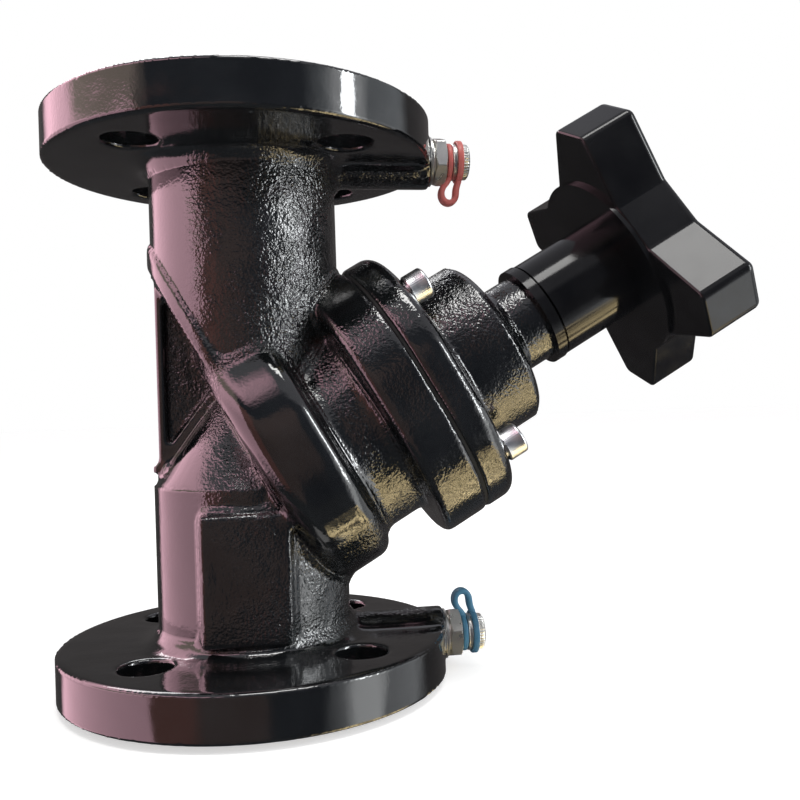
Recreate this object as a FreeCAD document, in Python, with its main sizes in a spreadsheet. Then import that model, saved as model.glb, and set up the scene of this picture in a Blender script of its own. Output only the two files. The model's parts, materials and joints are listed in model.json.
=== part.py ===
import FreeCAD, Part
import math
import os

import Sketcher

# Flanged static balancing valve of the inclined-stem pattern, in millimetres.
# Frame: origin at the centre of the lower flange's gasket face, +Z up the pipe axis,
# the stem leans towards +X and rises away from the pipe. The handwheel end is the high end.
# Stations along the stem are measured from the point where the stem axis meets the pipe axis.

os.makedirs("parts", exist_ok=True)
doc = FreeCAD.newDocument("BalancingValve")
dims = doc.addObject("Spreadsheet::Sheet", "Dims")

# pipe flanges and tubes
FACE_TO_FACE = 208
FLANGE_DIA = 140
FLANGE_RIM = 16
FACE_DIA = 78
FACE_RAISE = 2
BOLT_CIRCLE = 100
LOW_BOLT_HOLE_DIA = 18
TOP_BOLT_HOLE_DIA = 18.4
BORE_DIA = 32
BORE_LAND = 17
FLARE_END = 36
PASSAGE_DIA = 54
LOW_TUBE_DIA = 70
TOP_TUBE_DIA = 68
LOW_ROOF_START = 74
LOW_ROOF_END = 107
LOW_ROOF_DIA = 24
CORE_ROOF_START = 66
CORE_ROOF_END = 96
CORE_ROOF_DIA = 16
TUBE_FILLET = 5
RIM_ROUND = 1.5

# stem direction
STEM_CROSS = 70.5
STEM_TILT = 60

# body round the stem
NOTCH_PLANE = 11
BAND_THICK = 4
BAND_PROUD = 1.2
INLET_PLANE = 4
CHAMBER_FLOOR = 16
DRUM_START = 8
DRUM_END = 34
DRUM_WIDTH = 92
DRUM_BACK = 58
DRUM_ROUND = 8
DRUM_END_ROUND = 6.4
NECK_DIA = 78
BODY_JOINT = 70
BODY_FLANGE_THICK = 17.5
JOINT_LENGTH = 104
JOINT_WIDTH = 92
JOINT_CORNER = 44
JOINT_BACK_ROUND = 3
JOINT_EDGE_ROUND = 0.8
JOINT_FRONT_ROUND = 5
CHAMBER_DIA = 66
SCREW_PITCH = 64
SCREW_SPREAD = 60
SCREW_DIA = 8
SCREW_HEAD_DIA = 11.4
SCREW_HEAD = 7.6
SCREW_DEPTH = 14

# ribs, pad and measuring bosses
WEB_THICK = 6
WEB_LEFT = 32.6
WEB_LOW = 78
WEB_TOP = 150
WEB_RIGHT = 8
BEAD_WIDTH = 14
BEAD_DEPTH = 3.2
BEAD_SINK = 3
ROOF_BEAD_SLOPE = 52.8
ROOF_BEAD_LENGTH = 38
PAD_LEFT = 17
PAD_WIDTH = 30
PAD_LOW = 22
PAD_HEIGHT = 44
PAD_FRONT = 37.5
BOSS_DIA = 21
LOW_POINT_HEIGHT = 12.5
TOP_POINT_HEIGHT = 14
POINT_THREAD_DIA = 13
POINT_THREAD_START = 52
POINT_SEAT = 70.4
POINT_PORT_DIA = 4

# seat ring
SEAT_PRESS_DIA = 36
SEAT_COLLAR_DIA = 42
SEAT_COLLAR = 1.2
SEAT_BORE_DIA = 29
SEAT_LIP = 0.8
SEAT_LIP_INNER = 31
SEAT_LIP_OUTER = 34

# throttle plug
SEAL_GAP = 0.1
SEAL_THICK = 3
SEAL_DIA = 38
SEAL_BORE_DIA = 18
CONE_DIA = 28
CONE_TIP_DIA = 17
CONE_DROP = 10
CONE_STUD_DIA = 10
CONE_STUD = 6.5
CARRIER_DIA = 40.9
CARRIER_LENGTH = 31
CARRIER_FLOOR = 9
THREAD_DIA = 16
THREAD_GAP = 0.1
KEY_WIDTH = 6
KEY_REACH = 23.5
KEY_LENGTH = 8
KEY_DROP = 2

# bonnet
GASKET_THICK = 1
GASKET_INNER = 67
GASKET_INSET = 1
GASKET_SCREW_GAP = 0.4
BONNET_FLANGE_THICK = 12.5
BARREL_DIA = 67
BARREL_LENGTH = 25.3
BARREL_ROUND = 4.5
SHOULDER_DIA = 46
SHOULDER_LENGTH = 4
NECK_TOP_DIA = 35
NECK_LENGTH = 25
SPIGOT_DIA = 65.6
SPIGOT_LENGTH = 9
SKIRT_DIA = 53
SKIRT_LENGTH = 32
GUIDE_DIA = 41
GUIDE_DEPTH = 5
SLOT_WIDTH = 6.3
JOURNAL_DIA = 20
JOURNAL_GAP = 0.1
POCKET_DIA = 26
POCKET_FLOOR = 14

# spindle, bush and rings
SPINDLE_END = 44
COLLAR_DIA = 25
COLLAR_THICK = 4.5
WASHER_THICK = 1.5
WASHER_BORE = 20.4
UPPER_WASHER_BORE = 16.4
WASHER_DIA = 25.6
STEM_DIA = 16
BUSH_SHORT = 4
RING_WIDTH = 2.4
RING_GROOVE_DIA = 16.4
RING_FIRST = 5
RING_SECOND = 11
SQUARE_ACROSS = 12
SQUARE_START = 152
SQUARE_END = 171
NUT_THREAD_DIA = 12
SPINDLE_TOP = 180
LIMIT_BORE_DIA = 6
LIMIT_ROD_DIA = 5
LIMIT_THREAD_START = 150
LIMIT_TOP = 177

# handwheel
SLEEVE_START = 130.5
SLEEVE_DIA = 39.5
SLEEVE_BORE_DIA = 36
SLEEVE_WEB = 150
INDEX_START = 125.5
INDEX_THICK = 4
INDEX_DIA = 40.5
DISC_DIA = 75
DISC_THICK = 1.6
STAR_BACK = 164
STAR_THICK = 23
STAR_REACH = 58.5
STAR_TIP_HALF = 9
STAR_ROOT_REACH = 32.7
STAR_ROOT_HALF = 19.3
STAR_CLOCK = 30
STAR_TIP_ROUND = 3.5
STAR_ROOT_ROUND = 3
STAR_BACK_ROUND = 1
STAR_FRONT_ROUND = 3
RECESS_DIA = 30
NUT_ACROSS = 18
NUT_THICK = 6
CAP_THICK = 3

# test points
HEX_ACROSS = 17
HEX_THICK = 6.5
RING_GAP_WIDTH = 1.4
NIPPLE_DIA = 11
NIPPLE_LENGTH = 13
STRAP_DIA = 18
STRAP_WIDTH = 2.2
STRAP_GAP = 0.6
LOOP_REACH = 17
LOOP_WIDTH = 8
POINT_CAP_DIA = 13.5
POINT_CAP_END = 86.5
NEEDLE_DIA = 3
CAP_SEAL_THICK = 1


def fill_sheet():
    """Writes every size above to a cell of its own; its alias is its name in small letters."""
    sizes = [name for name in globals() if name.isupper()]
    for row, name in enumerate(sizes, 1):
        cell = "A%d" % row
        dims.set(cell, str(globals()[name]))
        dims.setAlias(cell, name.lower())
    doc.recompute()


fill_sheet()


def value(expression):
    """The number an expression gives with the present sheet."""
    answer = dims.evalExpression(expression)
    return float(getattr(answer, "Value", answer))


def plane_of(body, role):
    for feature in body.Origin.OriginFeatures:
        if feature.Role == role:
            return feature
    raise RuntimeError("no " + role)


def new_body(name):
    body = doc.addObject("PartDesign::Body", name)
    body.Label = name
    return body


def tilt(body):
    """Puts a body's own Z along the stem, its X pointing down and outwards."""
    axis = FreeCAD.Vector(0, 1, 0)
    turn = FreeCAD.Rotation(axis, value("Dims.stem_tilt"))
    body.Placement = FreeCAD.Placement(FreeCAD.Vector(0, 0, value("Dims.stem_cross")), turn)
    body.setExpression("Placement.Base.z", "Dims.stem_cross")
    body.setExpression("Placement.Rotation.Angle", "Dims.stem_tilt")


def lay_out(body, height):
    """Puts a body's own Z along +X at a height on the pipe."""
    turn = FreeCAD.Rotation(FreeCAD.Vector(0, 1, 0), 90)
    body.Placement = FreeCAD.Placement(FreeCAD.Vector(0, 0, value(height)), turn)
    body.setExpression("Placement.Base.z", height)


def outline(body, name, points, role="XZ_Plane"):
    """A closed sketch through points given as pairs of expressions."""
    sketch = body.newObject("Sketcher::SketchObject", name)
    sketch.AttachmentSupport = (plane_of(body, role), "")
    sketch.MapMode = "FlatFace"
    spots = [(value(a), value(b)) for a, b in points]
    count = len(spots)
    for i in range(count):
        x, y = spots[i]
        x2, y2 = spots[(i + 1) % count]
        sketch.addGeometry(Part.LineSegment(FreeCAD.Vector(x, y, 0), FreeCAD.Vector(x2, y2, 0)), False)
    for i in range(count):
        sketch.addConstraint(Sketcher.Constraint("Coincident", i, 2, (i + 1) % count, 1))
    for i, (across, along) in enumerate(points):
        pin(sketch, i, "DistanceX", -2, across, spots[i][0], "x%d" % i)
        pin(sketch, i, "DistanceY", -1, along, spots[i][1], "y%d" % i)
    return sketch


def pin(sketch, edge, kind, axis, expression, number, name):
    """Ties one corner's coordinate to the sheet, or to the axis where it is nought."""
    if abs(number) < 1e-9:
        sketch.addConstraint(Sketcher.Constraint("PointOnObject", edge, 1, axis))
        return
    index = sketch.addConstraint(Sketcher.Constraint(kind, -1, 1, edge, 1, number))
    sketch.renameConstraint(index, name)
    sketch.setExpression("Constraints." + name, expression)


def revolve(body, name, points, cut=False):
    sketch = outline(body, name + "_outline", points)
    kind = "PartDesign::Groove" if cut else "PartDesign::Revolution"
    feature = body.newObject(kind, name)
    feature.Profile = sketch
    feature.ReferenceAxis = (sketch, ["V_Axis"])
    feature.Angle = 360
    sketch.Visibility = False
    doc.recompute()
    return feature


def turned(name, points, tilted=True):
    """A body made by turning one outline about its own Z."""
    body = new_body(name)
    if tilted:
        tilt(body)
    revolve(body, name + "_turn", points)
    return body


def primitive(body, kind, name, offset, sizes, angle=0.0):
    """A primitive feature of a body, standing on its XY plane at an offset."""
    feature = body.newObject("PartDesign::" + kind, name)
    feature.AttachmentSupport = (plane_of(body, "XY_Plane"), "")
    feature.MapMode = "FlatFace"
    spot = FreeCAD.Vector(*[value(part) for part in offset])
    feature.AttachmentOffset = FreeCAD.Placement(spot, FreeCAD.Rotation(FreeCAD.Vector(0, 0, 1), angle))
    for letter, part in zip("xyz", offset):
        feature.setExpression("AttachmentOffset.Base." + letter, part)
    for key, expression in sizes.items():
        feature.setExpression(key, expression)
    doc.recompute()
    return feature


def polar(body, features, name, count):
    """Repeats features about the body's own Z."""
    pattern = body.newObject("PartDesign::PolarPattern", name)
    pattern.Originals = features
    pattern.Axis = (plane_of(body, "Z_Axis"), [""])
    pattern.Angle = 360
    pattern.Occurrences = count
    body.Tip = pattern
    doc.recompute()
    return pattern


def round_edges(body, name, radius, wanted):
    """Fillets the edges of the body's tip that a test picks out."""
    base = body.Tip
    names = []
    for number, edge in enumerate(base.Shape.Edges, 1):
        if wanted(edge):
            names.append("Edge%d" % number)
    if not names:
        raise RuntimeError("no edges for " + name)
    fillet = body.newObject("PartDesign::Fillet", name)
    fillet.Base = (base, names)
    fillet.setExpression("Radius", radius)
    body.Tip = fillet
    doc.recompute()
    return fillet


def ring_at(diameter, height):
    """Test for a circular edge of a given diameter and height about the body's Z."""
    radius = value(diameter) / 2
    level = value(height)

    def wanted(edge):
        curve = edge.Curve
        if not hasattr(curve, "Radius") or not hasattr(curve, "Center"):
            return False
        near = abs(curve.Radius - radius) < 0.01 and abs(curve.Center.z - level) < 0.01
        return near and math.hypot(curve.Center.x, curve.Center.y) < 0.01
    return wanted


def upright(edge):
    """Test for a straight edge along the body's Z."""
    if len(edge.Vertexes) != 2 or not isinstance(edge.Curve, (Part.Line, Part.LineSegment)):
        return False
    a = edge.Vertexes[0].Point
    b = edge.Vertexes[1].Point
    return math.hypot(a.x - b.x, a.y - b.y) < 0.001 and abs(a.z - b.z) > 0.5


def boolean(kind, name, label, **links):
    result = doc.addObject(kind, name)
    result.Label = label
    for key, target in links.items():
        setattr(result, key, target)
    doc.recompute()
    return result


def joint_plate(name, low, thick, low_round, high_round):
    """One half of the oval joint: a plate with well rounded ends, each face's edge rounded."""
    body = new_body(name)
    tilt(body)
    base = value(low)
    face = value(low + " + " + thick)
    primitive(body, "AdditiveBox", name + "_plate", ("-Dims.joint_length / 2", "-Dims.joint_width / 2", low),
              {"Length": "Dims.joint_length", "Width": "Dims.joint_width", "Height": thick})
    round_edges(body, name + "_corners", "Dims.joint_corner", upright)
    round_edges(body, name + "_low_rounds", low_round, lambda edge: edge_at(edge, base))
    round_edges(body, name + "_high_rounds", high_round, lambda edge: edge_at(edge, face))
    return body


def drill_plate(body, name, diameter, low, deep):
    """Four screw holes through the joint, two on each side."""
    near = primitive(body, "SubtractiveCylinder", name + "_near_hole",
                     ("Dims.screw_pitch / 2", "-Dims.screw_spread / 2", low),
                     {"Radius": "(" + diameter + ") / 2", "Height": deep})
    far = primitive(body, "SubtractiveCylinder", name + "_far_hole",
                    ("Dims.screw_pitch / 2", "Dims.screw_spread / 2", low),
                    {"Radius": "(" + diameter + ") / 2", "Height": deep})
    polar(body, [near, far], name + "_holes", 2)


def edge_at(edge, level):
    """Test for an edge that lies wholly at one height of the body's Z."""
    return all(abs(vertex.Point.z - level) < 0.01 for vertex in edge.Vertexes)


# stations along the stem that several pieces share
SEAT_TOP = "Dims.chamber_floor + Dims.seat_collar + Dims.seat_lip"
SEAL_LOW = "Dims.chamber_floor + Dims.seat_collar + Dims.seat_lip + Dims.seal_gap"
SEAL_TOP = SEAL_LOW + " + Dims.seal_thick"
CARRIER_TOP = SEAL_TOP + " + Dims.carrier_length"
BONNET_BASE = "Dims.body_joint + Dims.gasket_thick"
BONNET_FACE = BONNET_BASE + " + Dims.bonnet_flange_thick"
BARREL_END = BONNET_FACE + " + Dims.barrel_length"
SHOULDER_END = BARREL_END + " + Dims.shoulder_length"
NECK_END = SHOULDER_END + " + Dims.neck_length"
POCKET_FLOOR = BONNET_BASE + " + Dims.pocket_floor"
COLLAR_LOW = POCKET_FLOOR + " + Dims.washer_thick"
COLLAR_TOP = COLLAR_LOW + " + Dims.collar_thick"
BUSH_LOW = COLLAR_TOP + " + Dims.washer_thick"
BUSH_TOP = NECK_END + " - Dims.bush_short"


def make_valve_body():
    """The casting: two pipe flanges, two tubes, the branch for the stem and its joint flange."""
    solids = [low_shell(), top_shell(), seat_band(), drum(), branch_neck(), joint_flange()]
    solids += side_rib() + [front_pad()] + measuring_bosses()
    solid = boolean("Part::MultiFuse", "casting_solid", "casting_solid", Shapes=solids)
    cores = [inlet_core(), outlet_core(), chamber_core()] + measuring_holes()
    hollow = boolean("Part::MultiFuse", "casting_cores", "casting_cores", Shapes=cores)
    return boolean("Part::Cut", "valve_body", "valve_body", Base=solid, Tool=hollow)


def drill_flange(body, name, diameter, low):
    hole = primitive(body, "SubtractiveCylinder", name,
                     ("Dims.bolt_circle / 2 * cos(45)", "Dims.bolt_circle / 2 * sin(45)", low),
                     {"Radius": diameter + " / 2", "Height": "Dims.flange_rim + 2"})
    polar(body, [hole], name + "s", 4)


def low_shell():
    rim_top = "Dims.face_raise + Dims.flange_rim"
    body = turned("low_shell", [
        ("0", "0"),
        ("Dims.face_dia / 2", "0"),
        ("Dims.face_dia / 2", "Dims.face_raise"),
        ("Dims.flange_dia / 2", "Dims.face_raise"),
        ("Dims.flange_dia / 2", rim_top),
        ("Dims.low_tube_dia / 2", rim_top),
        ("Dims.low_tube_dia / 2", "Dims.low_roof_start"),
        ("Dims.low_roof_dia / 2", "Dims.low_roof_end"),
        ("0", "Dims.low_roof_end"),
    ], tilted=False)
    round_edges(body, "low_root", "Dims.tube_fillet", ring_at("Dims.low_tube_dia", rim_top))
    round_edges(body, "low_roof", "Dims.tube_fillet", ring_at("Dims.low_tube_dia", "Dims.low_roof_start"))
    round_edges(body, "low_rim", "Dims.rim_round", ring_at("Dims.flange_dia", rim_top))
    round_edges(body, "low_rim_under", "Dims.rim_round", ring_at("Dims.flange_dia", "Dims.face_raise"))
    drill_flange(body, "low_bolt_hole", "Dims.low_bolt_hole_dia", "Dims.face_raise - 1")
    return body


def top_shell():
    rim_low = "Dims.face_to_face - Dims.face_raise - Dims.flange_rim"
    rim_top = "Dims.face_to_face - Dims.face_raise"
    body = turned("top_tube", [
        ("0", "Dims.pad_low"),
        ("Dims.top_tube_dia / 2", "Dims.pad_low"),
        ("Dims.top_tube_dia / 2", rim_low),
        ("Dims.flange_dia / 2", rim_low),
        ("Dims.flange_dia / 2", rim_top),
        ("Dims.face_dia / 2", rim_top),
        ("Dims.face_dia / 2", "Dims.face_to_face"),
        ("0", "Dims.face_to_face"),
    ], tilted=False)
    round_edges(body, "top_root", "Dims.tube_fillet", ring_at("Dims.top_tube_dia", rim_low))
    round_edges(body, "top_rim", "Dims.rim_round", ring_at("Dims.flange_dia", rim_low))
    round_edges(body, "top_rim_over", "Dims.rim_round", ring_at("Dims.flange_dia", rim_top))
    drill_flange(body, "top_bolt_hole", "Dims.top_bolt_hole_dia", rim_low + " - 1")
    below = half_space("notch_side", "-Dims.face_to_face * 2", "Dims.face_to_face * 2 + Dims.notch_plane",
                       "Dims.face_to_face / 2")
    return boolean("Part::Cut", "top_shell", "top_shell", Base=body, Tool=below)


def half_space(name, low, deep, up="Dims.face_to_face * 2"):
    """A large block square to the stem, for trimming a tube on the slant."""
    body = new_body(name)
    tilt(body)
    primitive(body, "AdditiveBox", name + "_block", ("-(" + up + ")", "-Dims.face_to_face", low),
              {"Length": "Dims.face_to_face * 4", "Width": "Dims.face_to_face * 2", "Height": deep})
    return body


def seat_band():
    """The raised band round the upper tube, in line with the slanting wall that holds the seat."""
    column = doc.addObject("Part::Cylinder", "band_column")
    column.setExpression("Radius", "Dims.top_tube_dia / 2 + Dims.band_proud")
    column.setExpression("Height", "Dims.face_to_face - Dims.flange_rim - Dims.face_raise")
    slab = half_space("band_slab", "Dims.notch_plane", "Dims.band_thick")
    return boolean("Part::Common", "seat_band", "seat_band", Base=column, Tool=slab)


def drum():
    """The stout rounded part of the branch round the seat, longer on its upper side."""
    body = new_body("drum")
    tilt(body)
    low = value("Dims.drum_start")
    high = value("Dims.drum_end")
    primitive(body, "AdditiveBox", "drum_block", ("-Dims.drum_back", "-Dims.drum_width / 2", "Dims.drum_start"),
              {"Length": "Dims.drum_back + Dims.drum_width / 2", "Width": "Dims.drum_width",
               "Height": "Dims.drum_end - Dims.drum_start"})
    round_edges(body, "drum_sides", "Dims.drum_width / 2 - 0.1", upright)
    round_edges(body, "drum_low", "Dims.drum_round", lambda edge: edge_at(edge, low))
    round_edges(body, "drum_high", "Dims.drum_end_round", lambda edge: edge_at(edge, high))
    return body


def branch_neck():
    return turned("branch_neck", [
        ("0", "Dims.chamber_floor"),
        ("Dims.neck_dia / 2", "Dims.chamber_floor"),
        ("Dims.neck_dia / 2", "Dims.body_joint - 1"),
        ("0", "Dims.body_joint - 1"),
    ])


def joint_flange():
    body = joint_plate("joint_flange", "Dims.body_joint - Dims.body_flange_thick", "Dims.body_flange_thick",
                       "Dims.joint_back_round", "Dims.joint_edge_round")
    drill_plate(body, "joint_flange", "Dims.screw_dia", "Dims.body_joint - Dims.screw_depth", "Dims.screw_depth + 1")
    return body


def block(name, corner, sizes):
    box = doc.addObject("Part::Box", name)
    for letter, expression in zip("xyz", corner):
        box.setExpression("Placement.Base." + letter, expression)
    for key, expression in zip(("Length", "Width", "Height"), sizes):
        box.setExpression(key, expression)
    doc.recompute()
    return box


def side_rib():
    """The web across the notch behind the seat, and the beads along its outer and lower edges."""
    web = block("web", ("-Dims.web_left", "-Dims.web_thick / 2", "Dims.web_low"),
                ("Dims.web_left - Dims.web_right", "Dims.web_thick", "Dims.web_top - Dims.web_low"))
    bead = block("bead", ("-Dims.web_left", "-Dims.bead_width / 2", "Dims.web_low"),
                 ("Dims.bead_depth", "Dims.bead_width", "Dims.web_top - Dims.web_low"))
    roof_bead = block("roof_bead", ("-Dims.web_left + Dims.bead_sink * sin(Dims.roof_bead_slope)",
                                    "-Dims.bead_width / 2",
                                    "Dims.web_low - Dims.bead_sink * cos(Dims.roof_bead_slope)"),
                      ("Dims.roof_bead_length", "Dims.bead_width", "Dims.bead_depth + Dims.bead_sink"))
    roof_bead.Placement.Rotation = FreeCAD.Rotation(FreeCAD.Vector(0, -1, 0), value("Dims.roof_bead_slope"))
    roof_bead.setExpression("Placement.Rotation.Angle", "Dims.roof_bead_slope")
    return [web, bead, roof_bead]


def front_pad():
    """The flat cast pad on the near side of the lower tube."""
    return block("pad", ("-Dims.pad_left", "-Dims.pad_front", "Dims.pad_low"),
                 ("Dims.pad_width", "Dims.pad_front / 2", "Dims.pad_height"))


def rod_along_x(name, start, length, diameter, height):
    rod = doc.addObject("Part::Cylinder", name)
    turn = FreeCAD.Rotation(FreeCAD.Vector(0, 1, 0), 90)
    rod.Placement = FreeCAD.Placement(FreeCAD.Vector(value(start), 0, value(height)), turn)
    rod.setExpression("Placement.Base.x", start)
    rod.setExpression("Placement.Base.z", height)
    rod.setExpression("Radius", diameter + " / 2")
    rod.setExpression("Height", length)
    doc.recompute()
    return rod


LOW_POINT = "Dims.low_point_height"
TOP_POINT = "Dims.face_to_face - Dims.top_point_height"


def measuring_bosses():
    start = "Dims.passage_dia / 2"
    length = "Dims.point_seat - Dims.passage_dia / 2"
    return [rod_along_x("low_boss", start, length, "Dims.boss_dia", LOW_POINT),
            rod_along_x("top_boss", start, length, "Dims.boss_dia", TOP_POINT)]


def measuring_holes():
    deep = "Dims.point_seat - Dims.point_thread_start + 5"
    holes = []
    for name, height in (("low", LOW_POINT), ("top", TOP_POINT)):
        holes.append(rod_along_x(name + "_tapping", "Dims.point_thread_start", deep,
                                 "Dims.point_thread_dia", height))
        holes.append(rod_along_x(name + "_port", "Dims.bore_dia / 4", "Dims.point_thread_start",
                                 "Dims.point_port_dia", height))
    return holes


def inlet_core():
    body = turned("inlet_cavity", [
        ("0", "-1"),
        ("Dims.bore_dia / 2", "-1"),
        ("Dims.bore_dia / 2", "Dims.bore_land"),
        ("Dims.passage_dia / 2", "Dims.flare_end"),
        ("Dims.passage_dia / 2", "Dims.core_roof_start"),
        ("Dims.core_roof_dia / 2", "Dims.core_roof_end"),
        ("0", "Dims.core_roof_end"),
    ], tilted=False)
    above = half_space("inlet_trim", "Dims.inlet_plane", "Dims.face_to_face * 2")
    return boolean("Part::Cut", "inlet_core", "inlet_core", Base=body, Tool=above)


def outlet_core():
    body = turned("outlet_cavity", [
        ("0", "Dims.stem_cross"),
        ("Dims.passage_dia / 2", "Dims.stem_cross"),
        ("Dims.passage_dia / 2", "Dims.face_to_face - Dims.flare_end"),
        ("Dims.bore_dia / 2", "Dims.face_to_face - Dims.bore_land"),
        ("Dims.bore_dia / 2", "Dims.face_to_face + 1"),
        ("0", "Dims.face_to_face + 1"),
    ], tilted=False)
    under = half_space("outlet_trim", "-Dims.face_to_face * 2", "Dims.face_to_face * 2 + Dims.chamber_floor")
    return boolean("Part::Cut", "outlet_core", "outlet_core", Base=body, Tool=under)


def chamber_core():
    body = new_body("chamber_core")
    tilt(body)
    revolve(body, "chamber_turn", [
        ("0", "Dims.inlet_plane / 2"),
        ("Dims.seat_press_dia / 2", "Dims.inlet_plane / 2"),
        ("Dims.seat_press_dia / 2", "Dims.chamber_floor"),
        ("Dims.chamber_dia / 2", "Dims.chamber_floor"),
        ("Dims.chamber_dia / 2", "Dims.body_joint + 1"),
        ("0", "Dims.body_joint + 1"),
    ])
    return body


def make_seat_ring():
    turned("seat_ring", [
        ("Dims.seat_bore_dia / 2", "Dims.inlet_plane"),
        ("Dims.seat_press_dia / 2", "Dims.inlet_plane"),
        ("Dims.seat_press_dia / 2", "Dims.chamber_floor"),
        ("Dims.seat_collar_dia / 2", "Dims.chamber_floor"),
        ("Dims.seat_collar_dia / 2", "Dims.chamber_floor + Dims.seat_collar"),
        ("Dims.seat_lip_outer / 2", "Dims.chamber_floor + Dims.seat_collar"),
        ("Dims.seat_lip_outer / 2", SEAT_TOP),
        ("Dims.seat_lip_inner / 2", SEAT_TOP),
        ("Dims.seat_lip_inner / 2", "Dims.chamber_floor + Dims.seat_collar"),
        ("Dims.seat_bore_dia / 2", "Dims.chamber_floor + Dims.seat_collar"),
    ])


def make_throttle_cone():
    turned("throttle_cone", [
        ("0", SEAL_LOW + " - Dims.cone_drop"),
        ("Dims.cone_tip_dia / 2", SEAL_LOW + " - Dims.cone_drop"),
        ("Dims.cone_dia / 2", SEAL_LOW + " - Dims.cone_drop * 0.2"),
        ("Dims.cone_dia / 2", SEAL_LOW),
        ("Dims.seal_bore_dia / 2", SEAL_LOW),
        ("Dims.seal_bore_dia / 2", SEAL_TOP),
        ("Dims.cone_stud_dia / 2", SEAL_TOP),
        ("Dims.cone_stud_dia / 2", SEAL_TOP + " + Dims.cone_stud"),
        ("0", SEAL_TOP + " + Dims.cone_stud"),
    ])


def make_plug_seal():
    turned("plug_seal", [
        ("Dims.seal_bore_dia / 2", SEAL_LOW),
        ("Dims.seal_dia / 2", SEAL_LOW),
        ("Dims.seal_dia / 2", SEAL_TOP),
        ("Dims.seal_bore_dia / 2", SEAL_TOP),
    ])


def make_plug_carrier():
    """The travelling nut behind the cone: a threaded blind bore and two guide keys."""
    body = turned("plug_carrier", [
        ("0", SEAL_TOP + " + Dims.cone_stud"),
        ("Dims.cone_stud_dia / 2", SEAL_TOP + " + Dims.cone_stud"),
        ("Dims.cone_stud_dia / 2", SEAL_TOP),
        ("Dims.carrier_dia / 2", SEAL_TOP),
        ("Dims.carrier_dia / 2", CARRIER_TOP),
        ("Dims.thread_dia / 2 + Dims.thread_gap / 2", CARRIER_TOP),
        ("Dims.thread_dia / 2 + Dims.thread_gap / 2", SEAL_TOP + " + Dims.carrier_floor"),
        ("0", SEAL_TOP + " + Dims.carrier_floor"),
    ])
    low = CARRIER_TOP + " - Dims.key_drop - Dims.key_length"
    root = "Dims.carrier_dia / 2 - 1.5"
    key = primitive(body, "AdditiveBox", "key", ("-Dims.key_width / 2", root, low),
                    {"Length": "Dims.key_width", "Width": "Dims.key_reach - Dims.carrier_dia / 2 + 1.5",
                     "Height": "Dims.key_length"})
    polar(body, [key], "keys", 2)


def make_bonnet_gasket():
    """The flat gasket between the two halves of the joint, a little inside their outline."""
    body = new_body("bonnet_gasket")
    tilt(body)
    primitive(body, "AdditiveBox", "gasket_sheet",
              ("-Dims.joint_length / 2 + Dims.gasket_inset", "-Dims.joint_width / 2 + Dims.gasket_inset",
               "Dims.body_joint"),
              {"Length": "Dims.joint_length - Dims.gasket_inset * 2",
               "Width": "Dims.joint_width - Dims.gasket_inset * 2", "Height": "Dims.gasket_thick"})
    round_edges(body, "gasket_corners", "Dims.joint_corner - Dims.gasket_inset", upright)
    primitive(body, "SubtractiveCylinder", "gasket_bore", ("0", "0", "Dims.body_joint - 1"),
              {"Radius": "Dims.gasket_inner / 2", "Height": "Dims.gasket_thick + 2"})
    drill_plate(body, "gasket", "Dims.screw_dia + Dims.gasket_screw_gap", "Dims.body_joint - 1",
                "Dims.gasket_thick + 2")


def make_bonnet():
    """The cover: joint flange, barrel, shoulder and neck outside, guide skirt and pocket inside."""
    body = joint_plate("bonnet", BONNET_BASE, "Dims.bonnet_flange_thick",
                       "Dims.joint_edge_round", "Dims.joint_front_round")
    drill_plate(body, "bonnet", "Dims.screw_dia", BONNET_BASE + " - 1", "Dims.bonnet_flange_thick + 2")
    spigot_low = BONNET_BASE + " - Dims.spigot_length"
    skirt_low = BONNET_BASE + " - Dims.skirt_length"
    revolve(body, "bonnet_outside", [
        ("0", skirt_low),
        ("Dims.skirt_dia / 2", skirt_low),
        ("Dims.skirt_dia / 2", spigot_low),
        ("Dims.spigot_dia / 2", spigot_low),
        ("Dims.spigot_dia / 2", BONNET_BASE + " + 1"),
        ("Dims.barrel_dia / 2", BONNET_BASE + " + 1"),
        ("Dims.barrel_dia / 2", BARREL_END),
        ("Dims.shoulder_dia / 2", BARREL_END),
        ("Dims.neck_top_dia / 2", SHOULDER_END),
        ("Dims.neck_top_dia / 2", NECK_END),
        ("0", NECK_END),
    ])
    round_edges(body, "barrel_end", "Dims.barrel_round", ring_at("Dims.barrel_dia", BARREL_END))
    journal = "Dims.journal_dia / 2 + Dims.journal_gap / 2"
    guide_top = BONNET_BASE + " - Dims.guide_depth"
    revolve(body, "bonnet_inside", [
        ("0", skirt_low + " - 1"),
        ("Dims.guide_dia / 2", skirt_low + " - 1"),
        ("Dims.guide_dia / 2", guide_top),
        (journal, guide_top),
        (journal, POCKET_FLOOR),
        ("Dims.pocket_dia / 2", POCKET_FLOOR),
        ("Dims.pocket_dia / 2", NECK_END + " + 1"),
        ("0", NECK_END + " + 1"),
    ], cut=True)
    slot_low = skirt_low + " - 1"
    slot = primitive(body, "SubtractiveBox", "slot", ("-Dims.slot_width / 2", "Dims.guide_dia / 2 - 1", slot_low),
                     {"Length": "Dims.slot_width", "Width": "Dims.key_reach - Dims.guide_dia / 2 + 1.3",
                      "Height": "Dims.skirt_length + 1 - Dims.guide_depth"})
    polar(body, [slot], "slots", 2)


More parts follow.
